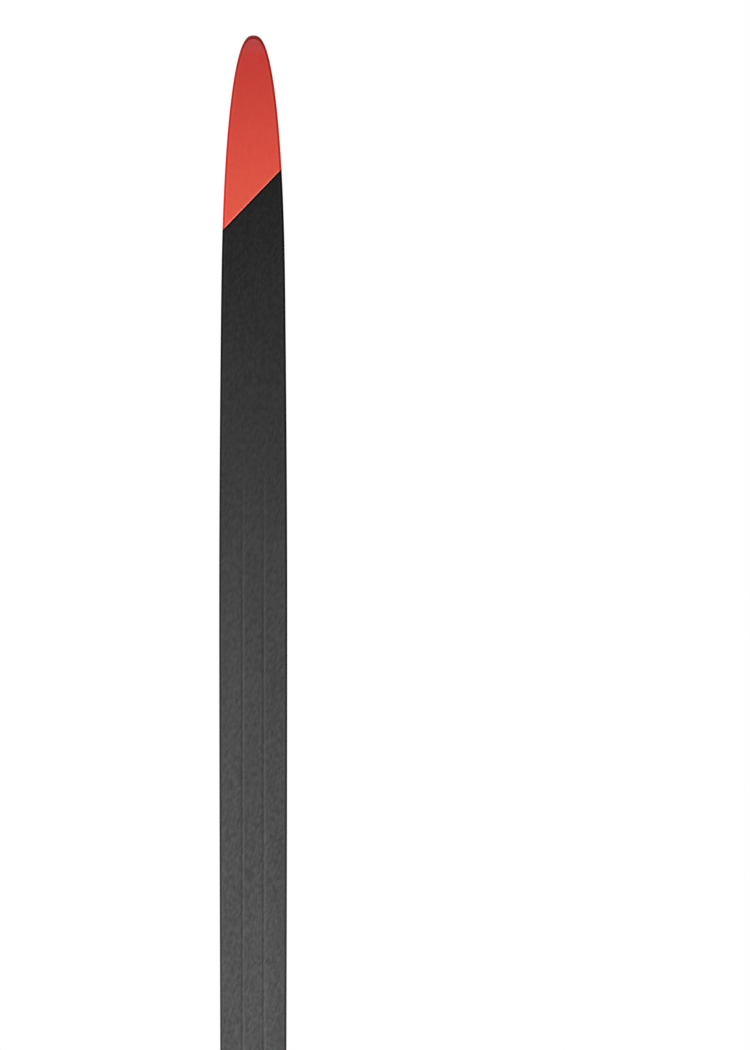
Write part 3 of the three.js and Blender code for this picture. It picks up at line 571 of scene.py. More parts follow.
def top_sheet_side(x):
    thickness = thickness_at(x)
    low = (SHOULDER - TOP_SHEET_THICKNESS, thickness - TOP_SHEET_THICKNESS)
    inner = (SHOULDER + SHOULDER_SOFT, thickness)
    return [low, *soft_corner(low, (SHOULDER, thickness), inner, SHOULDER_SOFT)]


def spacer_side(x):
    return outer_face(x, CORE_BOTTOM, CORE_DEPTH)


def protector_side(x):
    return outer_face(x, LAMINATE_BOTTOM, UPPER_LAMINATE_DEPTH)


def sidewall_section(x):
    inner_top = (SIDEWALL_WIDTH, thickness_at(x) - CORE_DEPTH)
    return [*outer_face(x, CORE_BOTTOM, CORE_DEPTH), inner_top, (SIDEWALL_WIDTH, CORE_BOTTOM)]


def core_top_at(x):
    recess = REINFORCEMENT_THICKNESS + BOND
    reinforced = REINFORCEMENT_REAR_X <= x <= REINFORCEMENT_FRONT_X
    return thickness_at(x) - CORE_DEPTH - (recess if reinforced else 0)


def stringer_section(x):
    outer = SIDEWALL_WIDTH + SIDE_GAP
    inner = outer + STRINGER_WIDTH
    top = core_top_at(x)
    return [(outer, CORE_BOTTOM), (outer, top), (inner, top), (inner, CORE_BOTTOM)]


def core_side(x):
    inset = SIDEWALL_WIDTH + STRINGER_WIDTH + 2 * SIDE_GAP
    return [(inset, CORE_BOTTOM), (inset, core_top_at(x))]


def reinforcement_side(x):
    inset = SIDEWALL_WIDTH + SIDE_GAP
    top = thickness_at(x) - CORE_DEPTH
    return [(inset, top - REINFORCEMENT_THICKNESS), (inset, top)]


# ---------------------------------------------------------------- materials

# Stretches of a texture: repeats for each metre along the ski, across it and up.
STREAKS = (280, 600, 600)
CLOUDS = (6, 30, 30)
GRIND_LINES = (12, 2600, 2600)
STEEL_LINES = (3000, 150, 3000)
ALLOY_LINES = (60, 2600, 2600)
WOOD_RINGS = (4, 420, 420)
WOOD_FIBRES = (40, 3500, 3500)
CELLS = (260, 260, 0)
LAMINATE_FIBRES = (30, 2200, 2200)
TOWS_ALONG = (200, 3000, 1)
TOWS_ACROSS = (3000, 200, 1)
WEAR = (40, 500, 500)
PATCHES = 45  # the same all ways
TARNISH = 90

# The values of a noise over which one look turns into another. Nearly all lie in the first span.
NOISE_SPAN = (0.3, 0.7)
STREAK_SPAN = (0.36, 0.64)
PATCH_SPAN = (0.35, 0.7)
TARNISH_SPAN = (0.4, 0.75)
RING_SPAN = (0.35, 0.65)
WEAR_SPAN = (0.3, 0.75)

BASE_ROUGHNESS = 0.52
ROUGHNESS_SPREAD = 0.15
BASE_SPECULAR = 0.15
STREAK_TURN = math.radians(-18)  # the ground streaks lean across the ski by this much
STREAK_SHARE = 0.75  # the rest of the pattern is clouds
STREAK_HEIGHT = 2  # how much more a streak stands out than a grinding line

# How far a material's patches and lines are from its own roughness.
MOULD_POLISH = 0.06
BRUSH_POLISH = 0.08
BRUSH_DULL = 0.12

CELL_WALL = (0.03, 0.12)  # distances from a cell's edge, in cells, over which wall turns into opening

TOW = 0.002  # width of one bundle of fibres in the weave
TWILL_REPEAT = 4  # in bundles
TWILL_SHIFT = 1000 * TWILL_REPEAT  # keeps the count of bundles above zero
OVER_LIGHT = 0.35  # how much brighter the bundles along the ski look
FIBRE_LIGHT = 0.5

RED = (0.6, 0.035, 0.022)
PALE = (0.55, 0.56, 0.57)
STRIPE_Y = 0.0125
STRIPE_HALF = 0.0006
RED_FRONT_X = 0.79
RED_REAR_X = -0.83
SLANT = 1.0
BAND = 0.012


def grey(value):
    return (value, value, value)


def surface(name, colour, roughness, metallic=0, coat=0, coat_roughness=0.1):
    """A new material: its node tree and its shader, whose even values are set on the shader itself."""
    mat = bpy.data.materials.new(name)
    mat.use_nodes = True
    shader = mat.node_tree.nodes["Principled BSDF"]
    shader.inputs["Base Color"].default_value = (*colour, 1)
    shader.inputs["Roughness"].default_value = roughness
    shader.inputs["Metallic"].default_value = metallic
    shader.inputs["Coat Weight"].default_value = coat
    shader.inputs["Coat Roughness"].default_value = coat_roughness
    return mat, mat.node_tree, shader


def place_in(tree, stretch=(1, 1, 1), turn=0):
    """The place on the piece, in metres, turned about the up axis and stretched."""
    coords = add(tree, "ShaderNodeTexCoord")
    turning = {"Vector": coords.outputs["Object"], "Rotation": (0, 0, turn)}
    turned = add(tree, "ShaderNodeMapping", inputs=turning)
    scaled = add(tree, "ShaderNodeMapping", inputs={"Vector": turned.outputs[0], "Scale": stretch})
    return scaled.outputs[0]


def place_parts(tree):
    """The place on the piece, in metres, as one output for each of X, Y and Z."""
    return add(tree, "ShaderNodeSeparateXYZ", inputs={"Vector": place_in(tree)}).outputs


def noise(tree, vector, detail, scale=1.0):
    inputs = {"Vector": vector, "Scale": scale, "Detail": detail}
    return add(tree, "ShaderNodeTexNoise", inputs=inputs).outputs[0]


def remap(tree, value, old, new=(0, 1)):
    """Old and new are each the start and end of a range. Values outside the old one give the nearest end."""
    ranges = {"From Min": old[0], "From Max": old[1], "To Min": new[0], "To Max": new[1]}
    return add(tree, "ShaderNodeMapRange", inputs={"Value": value} | ranges).outputs["Result"]


def calculate(tree, operation, a, b=0.0):
    return add(tree, "ShaderNodeMath", {"operation": operation}, {0: a, 1: b}).outputs[0]


def mix_numbers(tree, share, start, end):
    return add(tree, "ShaderNodeMix", {"data_type": "FLOAT"}, {0: share, 2: start, 3: end}).outputs[0]


def mix_colours(tree, share, start, end):
    """Start and end are colours or sockets."""
    start, end = [(*colour, 1) if isinstance(colour, tuple) else colour for colour in (start, end)]
    return add(tree, "ShaderNodeMix", {"data_type": "RGBA"}, {0: share, 6: start, 7: end}).outputs[2]


def set_colour(tree, shader, colour):
    tree.links.new(colour, shader.inputs["Base Color"])


def set_roughness(tree, shader, value):
    tree.links.new(value, shader.inputs["Roughness"])


def set_bump(tree, shader, height, distance, strength):
    made = add(tree, "ShaderNodeBump", inputs={"Height": height, "Distance": distance, "Strength": strength})
    tree.links.new(made.outputs["Normal"], shader.inputs["Normal"])


def mark(tree, label):
    """A number that loft() has put on the piece's points."""
    return add(tree, "ShaderNodeAttribute", {"attribute_name": label}).outputs["Fac"]


def sintered_base(name, field, streak, bright, dark, rim, wear_and_sheen):
    """A ground polyethylene running surface: faint slanting streaks, broad clouds and fine grinding lines.
    Field and streak are each a pair of colours, at the joint and near the tip; the change between them is
    painted light.
    The rim shade is a pair too, at the joint and under the foot: painted shade on the bevelled rim, paler
    under the foot.
    Bright is a painted highlight and dark is the dark line along the seam. The tip's last colour is a painted
    sheen."""
    mat, tree, shader = surface(name, field[0], BASE_ROUGHNESS)
    x = place_parts(tree)["X"]
    streaks = noise(tree, place_in(tree, STREAKS, STREAK_TURN), detail=3)
    clouds = noise(tree, place_in(tree, CLOUDS), detail=2)
    lines = noise(tree, place_in(tree, GRIND_LINES), detail=2)
    strong_streaks = calculate(tree, "MULTIPLY", streaks, STREAK_SHARE)
    weak_clouds = calculate(tree, "MULTIPLY", clouds, 1 - STREAK_SHARE)
    pattern = calculate(tree, "ADD", strong_streaks, weak_clouds)

    # Painted light: the field and streak colours change from the joint to the tip.
    tip_light_ramp = remap(tree, x, (INLAY_JOINT_X * MM, TIP_X * MM))
    low = mix_colours(tree, tip_light_ramp, *field)
    high = mix_colours(tree, tip_light_ramp, *streak)
    colour = mix_colours(tree, remap(tree, pattern, STREAK_SPAN), low, high)
    # Painted sheen over the last stretch of the tip.
    tip_sheen = remap(tree, x, ((TIP_X - TIP_SHEEN_LENGTH) * MM, TIP_X * MM))
    colour = mix_colours(tree, tip_sheen, colour, wear_and_sheen)
    # Painted highlight where the mark is above 0: in the grooves, inside each rim and on the red side of the
    # seam. Below 0 it marks the dark seam line.
    burnish = mark(tree, "burnish")
    colour = mix_colours(tree, remap(tree, burnish, (0, 1)), colour, bright)
    colour = mix_colours(tree, remap(tree, burnish, (0, -1)), colour, dark)
    # Painted shade on the bevelled rim, paler rearwards from the joint.
    rearward = remap(tree, x, (INLAY_JOINT_X * MM, RIM_SHADE_FADE_X * MM))
    rim_shade_colour = mix_colours(tree, rearward, *rim)
    set_colour(tree, shader, mix_colours(tree, mark(tree, "rim"), colour, rim_shade_colour))

    polish = calculate(tree, "MULTIPLY", pattern, 2 * ROUGHNESS_SPREAD)
    set_roughness(tree, shader, calculate(tree, "SUBTRACT", BASE_ROUGHNESS + ROUGHNESS_SPREAD, polish))
    specular = remap(tree, burnish, (-1, 0), (0, BASE_SPECULAR))
    tree.links.new(specular, shader.inputs["Specular IOR Level"])
    height = calculate(tree, "ADD", lines, calculate(tree, "MULTIPLY", streaks, STREAK_HEIGHT))
    set_bump(tree, shader, height, distance=0.00002, strength=0.6)
    return mat


def make_black_base():
    # Bright is a painted highlight, the rim colours are painted shade, and the tip's colour a painted sheen.
    field = grey(0.0075)
    streak = grey(0.0155)
    bright = grey(0.03)
    dark = grey(0.003)
    rim = (grey(0.006), grey(0.023))
    wear_and_sheen = grey(0.012)
    return sintered_base("black_base", (field, field), (streak, streak), bright, dark, rim, wear_and_sheen)


def make_red_base():
    # The red grows brighter towards the tip as painted light. Bright is a painted highlight, the rim colour
    # painted shade, and the tip's colour a painted sheen.
    field = ((0.73, 0.085, 0.052), (0.87, 0.068, 0.055))
    streak = ((0.775, 0.096, 0.058), (0.91, 0.078, 0.063))
    bright = (1.0, 0.16, 0.11)
    dark = (0.6, 0.04, 0.03)
    rim = (0.83, 0.032, 0.021)
    wear_and_sheen = (0.88, 0.13, 0.14)
    return sintered_base("red_base", field, streak, bright, dark, (rim, rim), wear_and_sheen)


def moulded(name, colour, wear_and_sheen, roughness, grain=1800, depth=0.00004):
    """Injection moulded plastic with a fine spark-eroded grain and slightly polished patches."""
    mat, tree, shader = surface(name, colour, roughness)
    place = place_in(tree)
    patches = noise(tree, place, detail=4, scale=PATCHES)
    set_colour(tree, shader, mix_colours(tree, remap(tree, patches, PATCH_SPAN), colour, wear_and_sheen))
    polish = (roughness + MOULD_POLISH, roughness - MOULD_POLISH)
    set_roughness(tree, shader, remap(tree, patches, NOISE_SPAN, polish))
    set_bump(tree, shader, noise(tree, place, detail=2, scale=grain), distance=depth, strength=0.5)
    return mat


def make_sidewall():
    colour = (0.0095, 0.0095, 0.01)
    wear_and_sheen = (0.016, 0.016, 0.0165)
    return moulded("sidewall_plastic", colour, wear_and_sheen, roughness=0.42, grain=900)


def make_spacer():
    colour = (0.64, 0.18, 0.16)
    wear_and_sheen = (0.72, 0.24, 0.22)
    return moulded("spacer_plastic", colour, wear_and_sheen, roughness=0.5)


def make_plate():
    colour = (0.025, 0.026, 0.029)
    wear_and_sheen = (0.036, 0.037, 0.04)
    return moulded("plate_plastic", colour, wear_and_sheen, roughness=0.55)


def make_housing():
    colour = (0.0105, 0.011, 0.0125)
    wear_and_sheen = (0.017, 0.0175, 0.019)
    return moulded("housing_plastic", colour, wear_and_sheen, roughness=0.45)


def make_red_plastic():
    colour = (0.5, 0.022, 0.017)
    wear_and_sheen = (0.58, 0.032, 0.024)
    return moulded("red_plastic", colour, wear_and_sheen, roughness=0.33, grain=1400)


def make_rubber():
    colour = (0.0135, 0.0135, 0.014)
    wear_and_sheen = (0.022, 0.0215, 0.021)
    return moulded("rubber", colour, wear_and_sheen, roughness=0.82, grain=2400, depth=0.00007)


def brushed(name, colour, shade, roughness, stretch):
    """Metal with fine brushing lines and a little tarnish."""
    mat, tree, shader = surface(name, colour, roughness, metallic=1)
    lines = noise(tree, place_in(tree, stretch), detail=3)
    tarnish = noise(tree, place_in(tree), detail=4, scale=TARNISH)
    set_colour(tree, shader, mix_colours(tree, remap(tree, tarnish, TARNISH_SPAN), colour, shade))
    polish = (roughness - BRUSH_POLISH, roughness + BRUSH_DULL)
    set_roughness(tree, shader, remap(tree, lines, NOISE_SPAN, polish))
    set_bump(tree, shader, lines, distance=0.00001, strength=0.5)
    return mat


def make_steel():
    return brushed("steel", (0.56, 0.57, 0.58), grey(0.4), roughness=0.32, stretch=STEEL_LINES)


def make_alloy():
    colour = (0.6, 0.61, 0.62)
    shade = (0.48, 0.49, 0.5)
    return brushed("reinforcement_alloy", colour, shade, roughness=0.38, stretch=ALLOY_LINES)


def make_wood():
    """Straight-grained light wood: growth rings stretched along the ski."""
    mat, tree, shader = surface("stringer_wood", (0.5, 0.27, 0.1), roughness=0.7)
    rings = noise(tree, place_in(tree, WOOD_RINGS), detail=5)
    fibres = noise(tree, place_in(tree, WOOD_FIBRES), detail=2)
    early = (0.55, 0.31, 0.12)
    late = (0.36, 0.18, 0.06)
    set_colour(tree, shader, mix_colours(tree, remap(tree, rings, RING_SPAN), early, late))
    set_roughness(tree, shader, remap(tree, fibres, NOISE_SPAN, (0.6, 0.8)))
    set_bump(tree, shader, fibres, distance=0.00004, strength=0.6)
    return mat


def make_honeycomb():
    """Resin-dipped paper cells, seen end on from above. Their openings are painted dark, as the shade inside
    the hollow cells.
    """
    mat, tree, shader = surface("honeycomb", (0.55, 0.42, 0.18), roughness=0.85)
    cells = add(
        tree,
        "ShaderNodeTexVoronoi",
        {"feature": "DISTANCE_TO_EDGE"},
        {"Vector": place_in(tree, CELLS), "Scale": 1.0, "Randomness": 0.15},
    )
    opening = remap(tree, cells.outputs["Distance"], CELL_WALL)
    paper = (0.62, 0.48, 0.22)
    # Painted shade inside the cells.
    cell_shade = (0.16, 0.11, 0.045)
    set_colour(tree, shader, mix_colours(tree, opening, paper, cell_shade))
    set_bump(tree, shader, opening, distance=0.001, strength=0.8)
    return mat


def make_carbon():
    """Carbon laminate: fibres along the ski in resin."""
    colour = (0.012, 0.0125, 0.013)
    dark = (0.008, 0.0085, 0.009)
    bright = (0.03, 0.031, 0.033)
    mat, tree, shader = surface("carbon_laminate", colour, roughness=0.35, coat=0.4, coat_roughness=0.15)
    fibres = noise(tree, place_in(tree, LAMINATE_FIBRES), detail=3)
    set_colour(tree, shader, mix_colours(tree, fibres, dark, bright))
    set_roughness(tree, shader, remap(tree, fibres, NOISE_SPAN, (0.28, 0.45)))
    set_bump(tree, shader, fibres, distance=0.00002, strength=0.5)
    return mat


def twill(tree):
    """1 on the bundles that run along the ski and 0 on those that run across, over two and under two."""
    place = place_in(tree, (1 / TOW, 1 / TOW, 1 / TOW))
    tows = add(tree, "ShaderNodeSeparateXYZ", inputs={"Vector": place}).outputs
    along = calculate(tree, "FLOOR", tows["X"])
    across = calculate(tree, "FLOOR", tows["Y"])
    count = calculate(tree, "ADD", calculate(tree, "ADD", along, across), TWILL_SHIFT)
    return calculate(tree, "LESS_THAN", calculate(tree, "MODULO", count, TWILL_REPEAT), TWILL_REPEAT / 2)


def weave_light(tree):
    """How light the weave looks: the bundles along the ski catch more light, and all have fine fibres."""
    over = twill(tree)
    fibres_along = noise(tree, place_in(tree, TOWS_ALONG), detail=2)
    fibres_across = noise(tree, place_in(tree, TOWS_ACROSS), detail=2)
    fibres = mix_numbers(tree, over, fibres_across, fibres_along)
    from_over = calculate(tree, "MULTIPLY", over, OVER_LIGHT)
    return calculate(tree, "ADD", from_over, calculate(tree, "MULTIPLY", fibres, FIBRE_LIGHT))


def painted(tree, carbon):
    """Adds fine side stripes, and a red shovel and tail, each behind a pale slanting band."""
    place = place_parts(tree)
    lean = calculate(tree, "MULTIPLY", place["Y"], SLANT)
    slanted = calculate(tree, "SUBTRACT", place["X"], lean)
    side = calculate(tree, "ABSOLUTE", place["Y"])
    off_stripe = calculate(tree, "ABSOLUTE", calculate(tree, "SUBTRACT", side, STRIPE_Y))
    stripe = calculate(tree, "LESS_THAN", off_stripe, STRIPE_HALF)
    front = calculate(tree, "GREATER_THAN", slanted, RED_FRONT_X)
    rear = calculate(tree, "LESS_THAN", slanted, RED_REAR_X)
    front_band = calculate(tree, "GREATER_THAN", slanted, RED_FRONT_X - BAND)
    rear_band = calculate(tree, "LESS_THAN", slanted, RED_REAR_X + BAND)
    colour = mix_colours(tree, stripe, carbon, RED)
    colour = mix_colours(tree, calculate(tree, "MAXIMUM", front_band, rear_band), colour, PALE)
    return mix_colours(tree, calculate(tree, "MAXIMUM", front, rear), colour, RED)


def make_top_skin():
    """Painted carbon twill under a clear coat."""
    colour = (0.013, 0.0137, 0.0152)
    dark = (0.006, 0.0063, 0.007)
    bright = (0.036, 0.037, 0.04)
    mat, tree, shader = surface("top_skin", colour, roughness=0.34, coat=1.0, coat_roughness=0.06)
    light = weave_light(tree)
    set_colour(tree, shader, painted(tree, mix_colours(tree, light, dark, bright)))
    wear = noise(tree, place_in(tree, WEAR), detail=5)
    set_roughness(tree, shader, remap(tree, wear, WEAR_SPAN, (0.3, 0.46)))
    set_bump(tree, shader, light, distance=0.00003, strength=0.4)
    return mat


FINISHES = {
    "black_base": make_black_base(),
    "red_base": make_red_base(),
    "carbon_laminate": make_carbon(),
    "honeycomb": make_honeycomb(),
    "stringer_wood": make_wood(),
    "sidewall_plastic": make_sidewall(),
    "spacer_plastic": make_spacer(),
    "reinforcement_alloy": make_alloy(),
    "top_skin": make_top_skin(),
    "plate_plastic": make_plate(),
    "housing_plastic": make_housing(),
    "steel": make_steel(),
    "rubber": make_rubber(),
    "red_plastic": make_red_plastic(),
}

# ---------------------------------------------------------------- the ski's own pieces

SLOTS = {part["node"]: part["material_slot"] for part in frame["record"]["subparts"]}
BODIES = {node: body for body, nodes in frame["record"]["behaviour"]["bodies"].items() for node in nodes}


def finished_piece(name, mesh, node):
    """A piece that stands for a CAD node and takes its body and its material slot from the record."""
    body = BODIES[node]
    slot = SLOTS[node]
    piece = bpy.data.objects.new(name, mesh)
    bpy.context.collection.objects.link(piece)
    mesh.materials.clear()
    mesh.materials.append(FINISHES[slot])
    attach(piece, body)
    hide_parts(node)
    return piece


def make_ski():
    layer_rear = TAIL_X + PROTECTOR_LENGTH + END_GAP
    core_rear = TAIL_SPACER_FRONT_X + END_GAP
    core_front = TIP_SPACER_REAR_X - END_GAP
    joint_rear = INLAY_JOINT_X - END_GAP / 2
    joint_front = INLAY_JOINT_X + END_GAP / 2
    black = base_sheet("base_black", joint_rear, TAIL_X, seam_tone=-1, grooved=True)
    red = base_sheet("base_red_tip", joint_front, TIP_X, seam_tone=1, grooved=False)
    lower = full_layer("laminate_lower", layer_rear, TIP_X, lower_laminate_side, set_back_tip=True)
    finished_piece("base_black", black, "running_base")
    finished_piece("base_red_tip", red, "tip_base")
    finished_piece("laminate_lower", lower, "lower_laminate")
    plate_rear = REINFORCEMENT_REAR_X
    plate_front = REINFORCEMENT_FRONT_X
    layers = [
        ("skin_top", "top_sheet", TAIL_X, TIP_X, top_sheet_side),
        ("laminate_upper", "upper_laminate", layer_rear, TIP_X, upper_laminate_side),
        ("spacer_tip", "tip_spacer", TIP_SPACER_REAR_X, TIP_X, spacer_side),
        ("spacer_tail", "tail_spacer", layer_rear, TAIL_SPACER_FRONT_X, spacer_side),
        ("protector_tail", "tail_protector", TAIL_X, TAIL_X + PROTECTOR_LENGTH, protector_side),
        ("core", "honeycomb_core", core_rear, core_front, core_side),
        ("reinforcement", "binding_reinforcement", plate_rear, plate_front, reinforcement_side),
    ]
    for name, node, rear, front, right_side in layers:
        finished_piece(name, full_layer(name, rear, front, right_side), node)
    for label, side in (("left", 1), ("right", -1)):
        wall = side_layer(f"wall_{label}", core_rear, core_front, side, sidewall_section)
        strip = side_layer(f"wood_{label}", core_rear, core_front, side, stringer_section)
        finished_piece(f"wall_{label}", wall, f"sidewall_{label}")
        finished_piece(f"wood_{label}", strip, f"stringer_{label}")


# ---------------------------------------------------------------- the binding's pieces, in millimetres

# How far each CAD node's creases are rounded.
ROUNDINGS = {
    "binding_plate": 0.3,
    "toe_chassis": 0.45,
    "bar_seat": 0.35,
    "jaw": 0.35,
    "flexor": 0.3,
    "lever": 0.6,
    "toe_latch": 0.25,
    "heel_chassis": 0.45,
    "heel_pad": 0.6,
    "heel_latch": 0.25,
}
WELD = 0.001
FLAT_ANGLE = math.radians(1)
CURVE_ANGLE = math.radians(12)  # faces that meet at more than this, and less than a crease, are one curve
CREASE_ANGLE = math.radians(32)
ROUND_SEGMENTS = 3
ROUNDED_MARK = 1  # material index that tells new round faces from the flat ones for a moment
SHORTEST_CREASE = 2.6  # in roundings: shorter creases stay sharp

PLATE_TOP = 52.6
CHANNEL_REAR_X = -185
CHANNEL_FRONT_X = -95
CHANNEL_Y = 9
CHANNEL_RADIUS = 1.2
CHANNEL_RISE = 0.4  # of the cutting rod's axis above the plate
MARKS_REAR_X = -195
MARKS_FRONT_X = -85
MARK_PITCH = 5
MARK_OUTER = 17.2
MARK_INNER = 14.5
LONG_MARK_INNER = 12.5
MARK_RADIUS = 0.22

TOE_FLUTES_X = 50
HEEL_FLUTES_X = -281
FLUTE_COUNT = 7
FLUTE_PITCH = 2.6
FLUTE_Y = 20.7
FLUTE_BOTTOM = 50.2
FLUTE_TOP = 53.9
FLUTE_RADIUS = 0.9

GRIP_X = 57.5  # the rearmost finger rib of the lever's grip
GRIP_Z = 63.2
GRIP_FALL = 0.117  # how fast the grip's top falls forwards
GRIP_RIBS = 5
GRIP_PITCH = 2.5
GRIP_HALF = 14.5
GRIP_RIB_RADIUS = 0.75
DIMPLE_X = 37  # the round dimple for the ski pole's point
DIMPLE_BOTTOM = 65.3
DIMPLE_TOP = 70
DIMPLE_RADIUS = 4

LATCH_RIB_X = 7  # from the latch's pivot
LATCH_RIB_Z = 55.85
LATCH_RIBS = 4
LATCH_RIB_PITCH = 1.8
LATCH_RIB_HALF = 4
LATCH_RIB_RADIUS = 0.4

PAD_RIB_X = -280.5
PAD_RIB_Z = 59.95
PAD_RIBS = 7
PAD_RIB_PITCH = 2.4
PAD_RIB_HALF = 18
PAD_RIB_RADIUS = 0.75

LEVER_X = 14
LEVER_Z = 63
LEVER_PIN_RADIUS = 1.5
LEVER_PIN_HALF = 18.9
TOE_LATCH_X = -72
HEEL_LATCH_X = -256
LATCH_Z = 55.2
LATCH_PIN_RADIUS = 0.8
LATCH_PIN_HALF = 10.2
PIN_CHAMFER = 0.25
PIN_SIDES = 36
ROD_SIDES = 20

SPRING_REAR_X = 19.9
SPRING_FRONT_X = 37.1
SPRING_Z = 58.4
SPRING_RADIUS = 1.9
SPRING_TURNS = 7
TURN_STEPS = 28
WIRE_RADIUS = 0.4
WIRE_SIDES = 14


def clean_copy(node):
    """The shape of a CAD node, without its stored normals, and with each flat face made whole."""
    data = frame["nodes"][node].data
    bm = bmesh.new()
    verts = [bm.verts.new(vert.co) for vert in data.vertices]
    for face in data.polygons:
        bm.faces.new([verts[i] for i in face.vertices])
    bmesh.ops.remove_doubles(bm, verts=bm.verts, dist=WELD * MM)
    bmesh.ops.dissolve_limit(bm, angle_limit=FLAT_ANGLE, verts=bm.verts, edges=bm.edges)
    return bm


def round_creases(bm, radius):
    """Rounds the creases that are long enough, and shades curved faces smooth and flat faces flat."""
    for face in bm.faces:
        face.smooth = any(CURVE_ANGLE < edge.calc_face_angle() < CREASE_ANGLE for edge in face.edges)
    shortest = SHORTEST_CREASE * radius
    creases = [
        edge for edge in bm.edges if edge.calc_face_angle() > CREASE_ANGLE and edge.calc_length() > shortest
    ]
    bmesh.ops.bevel(
        bm,
        geom=creases,
        offset=radius,
        offset_type="OFFSET",
        segments=ROUND_SEGMENTS,
        profile=0.5,
        affect="EDGES",
        clamp_overlap=False,
        material=ROUNDED_MARK,
    )
    for face in bm.faces:
        face.smooth = face.smooth or face.material_index == ROUNDED_MARK
        face.material_index = 0


def add_rod(bm, start, end, radius):
    start = Vector(start) * MM
    end = Vector(end) * MM
    turn = (end - start).to_track_quat("Z", "Y").to_matrix().to_4x4()
    bmesh.ops.create_cone(
        bm,
        cap_ends=True,
        segments=ROD_SIDES,
        radius1=radius * MM,
        radius2=radius * MM,
        depth=(end - start).length,
        matrix=Matrix.Translation((start + end) / 2) @ turn,
    )


def temporary_object(bm):
    mesh = bpy.data.meshes.new("temporary")
    bm.to_mesh(mesh)
    bm.free()
    made = bpy.data.objects.new("temporary", mesh)
    bpy.context.collection.objects.link(made)
    return made


def carve(bm, rods):
    """Cuts a row of rods, each (start, end, radius), out of a solid, and gives back the mesh."""
    tools = bmesh.new()
    for start, end, radius in rods:
        add_rod(tools, start, end, radius)
    solid = temporary_object(bm)
    tool = temporary_object(tools)
    cut = solid.modifiers.new("cut", "BOOLEAN")
    cut.object = tool
    cut.operation = "DIFFERENCE"
    cut.solver = "EXACT"
    mesh = bpy.data.meshes.new_from_object(solid.evaluated_get(bpy.context.evaluated_depsgraph_get()))
    bpy.data.objects.remove(solid)
    bpy.data.objects.remove(tool)
    return mesh


def plate_rods():
    """Two channels along the plate between the units, and a row of position marks along both edges."""
    rods = []
    channel_z = PLATE_TOP + CHANNEL_RISE
    for side in (1, -1):
        y = side * CHANNEL_Y
        rods.append(((CHANNEL_REAR_X, y, channel_z), (CHANNEL_FRONT_X, y, channel_z), CHANNEL_RADIUS))
        for x in range(MARKS_REAR_X, MARKS_FRONT_X + 1, MARK_PITCH):
            inner = LONG_MARK_INNER if x % (2 * MARK_PITCH) == 0 else MARK_INNER
            rods.append(((x, side * inner, PLATE_TOP), (x, side * MARK_OUTER, PLATE_TOP), MARK_RADIUS))
    return rods


def flutes(rear_x):
    """Upright grip flutes on both sides of a unit."""
    rods = []
    for i in range(FLUTE_COUNT):
        x = rear_x + FLUTE_PITCH * i
        for y in (FLUTE_Y, -FLUTE_Y):
            rods.append(((x, y, FLUTE_BOTTOM), (x, y, FLUTE_TOP), FLUTE_RADIUS))
    return rods


def ribs_across(rear_x, rear_z, fall, pitch, count, half, radius):
    """Grooves across a top face that falls forwards."""
    rods = []
    for i in range(count):
        x = rear_x + pitch * i
        z = rear_z - fall * pitch * i
        rods.append(((x, -half, z), (x, half, z), radius))
    return rods


def lever_rods():
    dimple = ((DIMPLE_X, 0, DIMPLE_BOTTOM), (DIMPLE_X, 0, DIMPLE_TOP), DIMPLE_RADIUS)
    ribs = ribs_across(GRIP_X, GRIP_Z, GRIP_FALL, GRIP_PITCH, GRIP_RIBS, GRIP_HALF, GRIP_RIB_RADIUS)
    return [dimple, *ribs]


def latch_rods(pivot_x):
    rear_x = pivot_x + LATCH_RIB_X
    return ribs_across(rear_x, LATCH_RIB_Z, 0, LATCH_RIB_PITCH, LATCH_RIBS, LATCH_RIB_HALF, LATCH_RIB_RADIUS)


def pad_rods():
    return ribs_across(PAD_RIB_X, PAD_RIB_Z, 0, PAD_RIB_PITCH, PAD_RIBS, PAD_RIB_HALF, PAD_RIB_RADIUS)


def refine(node, rods):
    """A CAD node's shape with its creases rounded and its small details cut in."""
    bm = clean_copy(node)
    round_creases(bm, ROUNDINGS[node] * MM)
    mesh = carve(bm, rods)
    mesh.set_sharp_from_angle(angle=CREASE_ANGLE)
    finished_piece(f"{node}_finished", mesh, node)


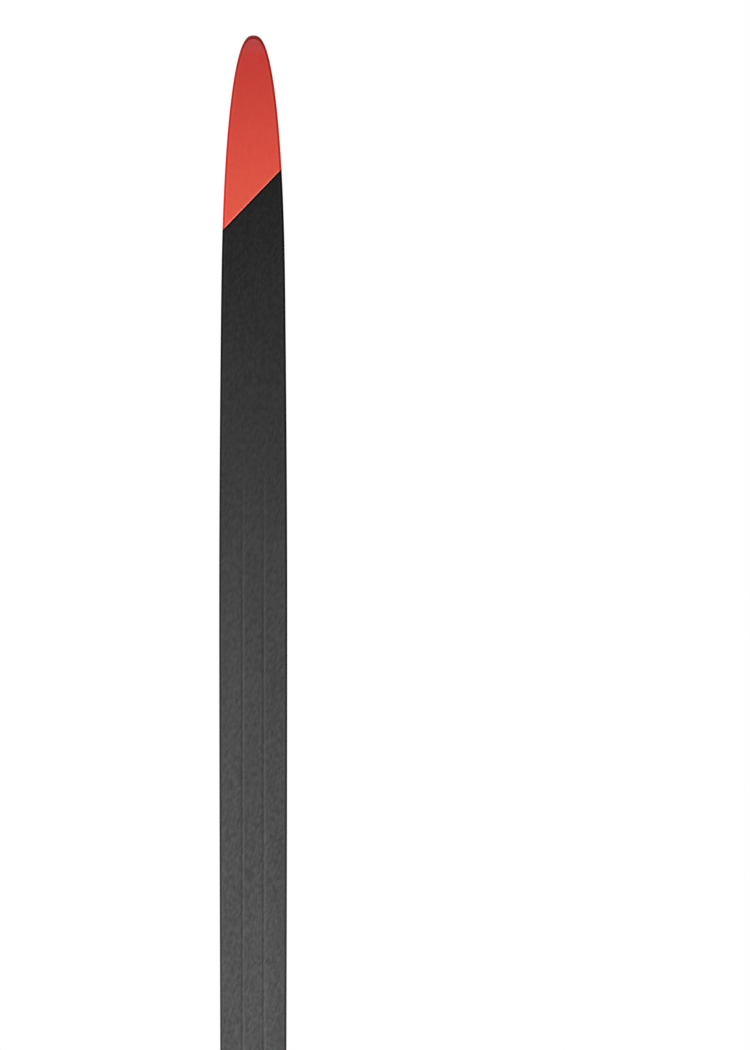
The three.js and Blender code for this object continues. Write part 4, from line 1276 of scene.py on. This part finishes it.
def make_pin(node, x, z, radius, half):
    """A turned pin across the ski, with chamfered ends."""
    turns = [2 * math.pi * i / PIN_SIDES for i in range(PIN_SIDES)]
    tip = radius - PIN_CHAMFER
    rings = []
    for y, size in ((-half, tip), (PIN_CHAMFER - half, radius), (half - PIN_CHAMFER, radius), (half, tip)):
        rings.append([(x + size * math.cos(turn), y, z + size * math.sin(turn)) for turn in turns])
    name = f"{node}_turned"
    finished_piece(name, loft(name, rings), node)


def make_spring():
    """The jaw's coil, built at one length; the real coil shortens towards its stop as the jaw opens."""
    steps = SPRING_TURNS * TURN_STEPS
    rings = []
    for i in range(steps + 1):
        turn = 2 * math.pi * i / TURN_STEPS
        middle_x = SPRING_REAR_X + (SPRING_FRONT_X - SPRING_REAR_X) * i / steps
        ring = []
        for k in range(WIRE_SIDES):
            around = 2 * math.pi * k / WIRE_SIDES
            reach = SPRING_RADIUS + WIRE_RADIUS * math.cos(around)
            x = middle_x + WIRE_RADIUS * math.sin(around)
            ring.append((x, reach * math.cos(turn), SPRING_Z + reach * math.sin(turn)))
        rings.append(ring)
    spring = finished_piece("spring_coil", loft("spring_coil", rings), "jaw_spring")
    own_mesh(spring)


def make_binding():
    carvings = {
        "binding_plate": plate_rods(),
        "toe_chassis": flutes(TOE_FLUTES_X),
        "lever": lever_rods(),
        "toe_latch": latch_rods(TOE_LATCH_X),
        "heel_chassis": flutes(HEEL_FLUTES_X),
        "heel_pad": pad_rods(),
        "heel_latch": latch_rods(HEEL_LATCH_X),
    }
    for node in ROUNDINGS:
        refine(node, carvings.get(node, []))
    make_pin("lever_pin", LEVER_X, LEVER_Z, LEVER_PIN_RADIUS, LEVER_PIN_HALF)
    make_pin("toe_latch_pin", TOE_LATCH_X, LATCH_Z, LATCH_PIN_RADIUS, LATCH_PIN_HALF)
    make_pin("heel_latch_pin", HEEL_LATCH_X, LATCH_Z, LATCH_PIN_RADIUS, LATCH_PIN_HALF)
    make_spring()


# ---------------------------------------------------------------- make it all

make_camera()
make_world()
make_lights()
make_floor()
make_ski()
make_binding()
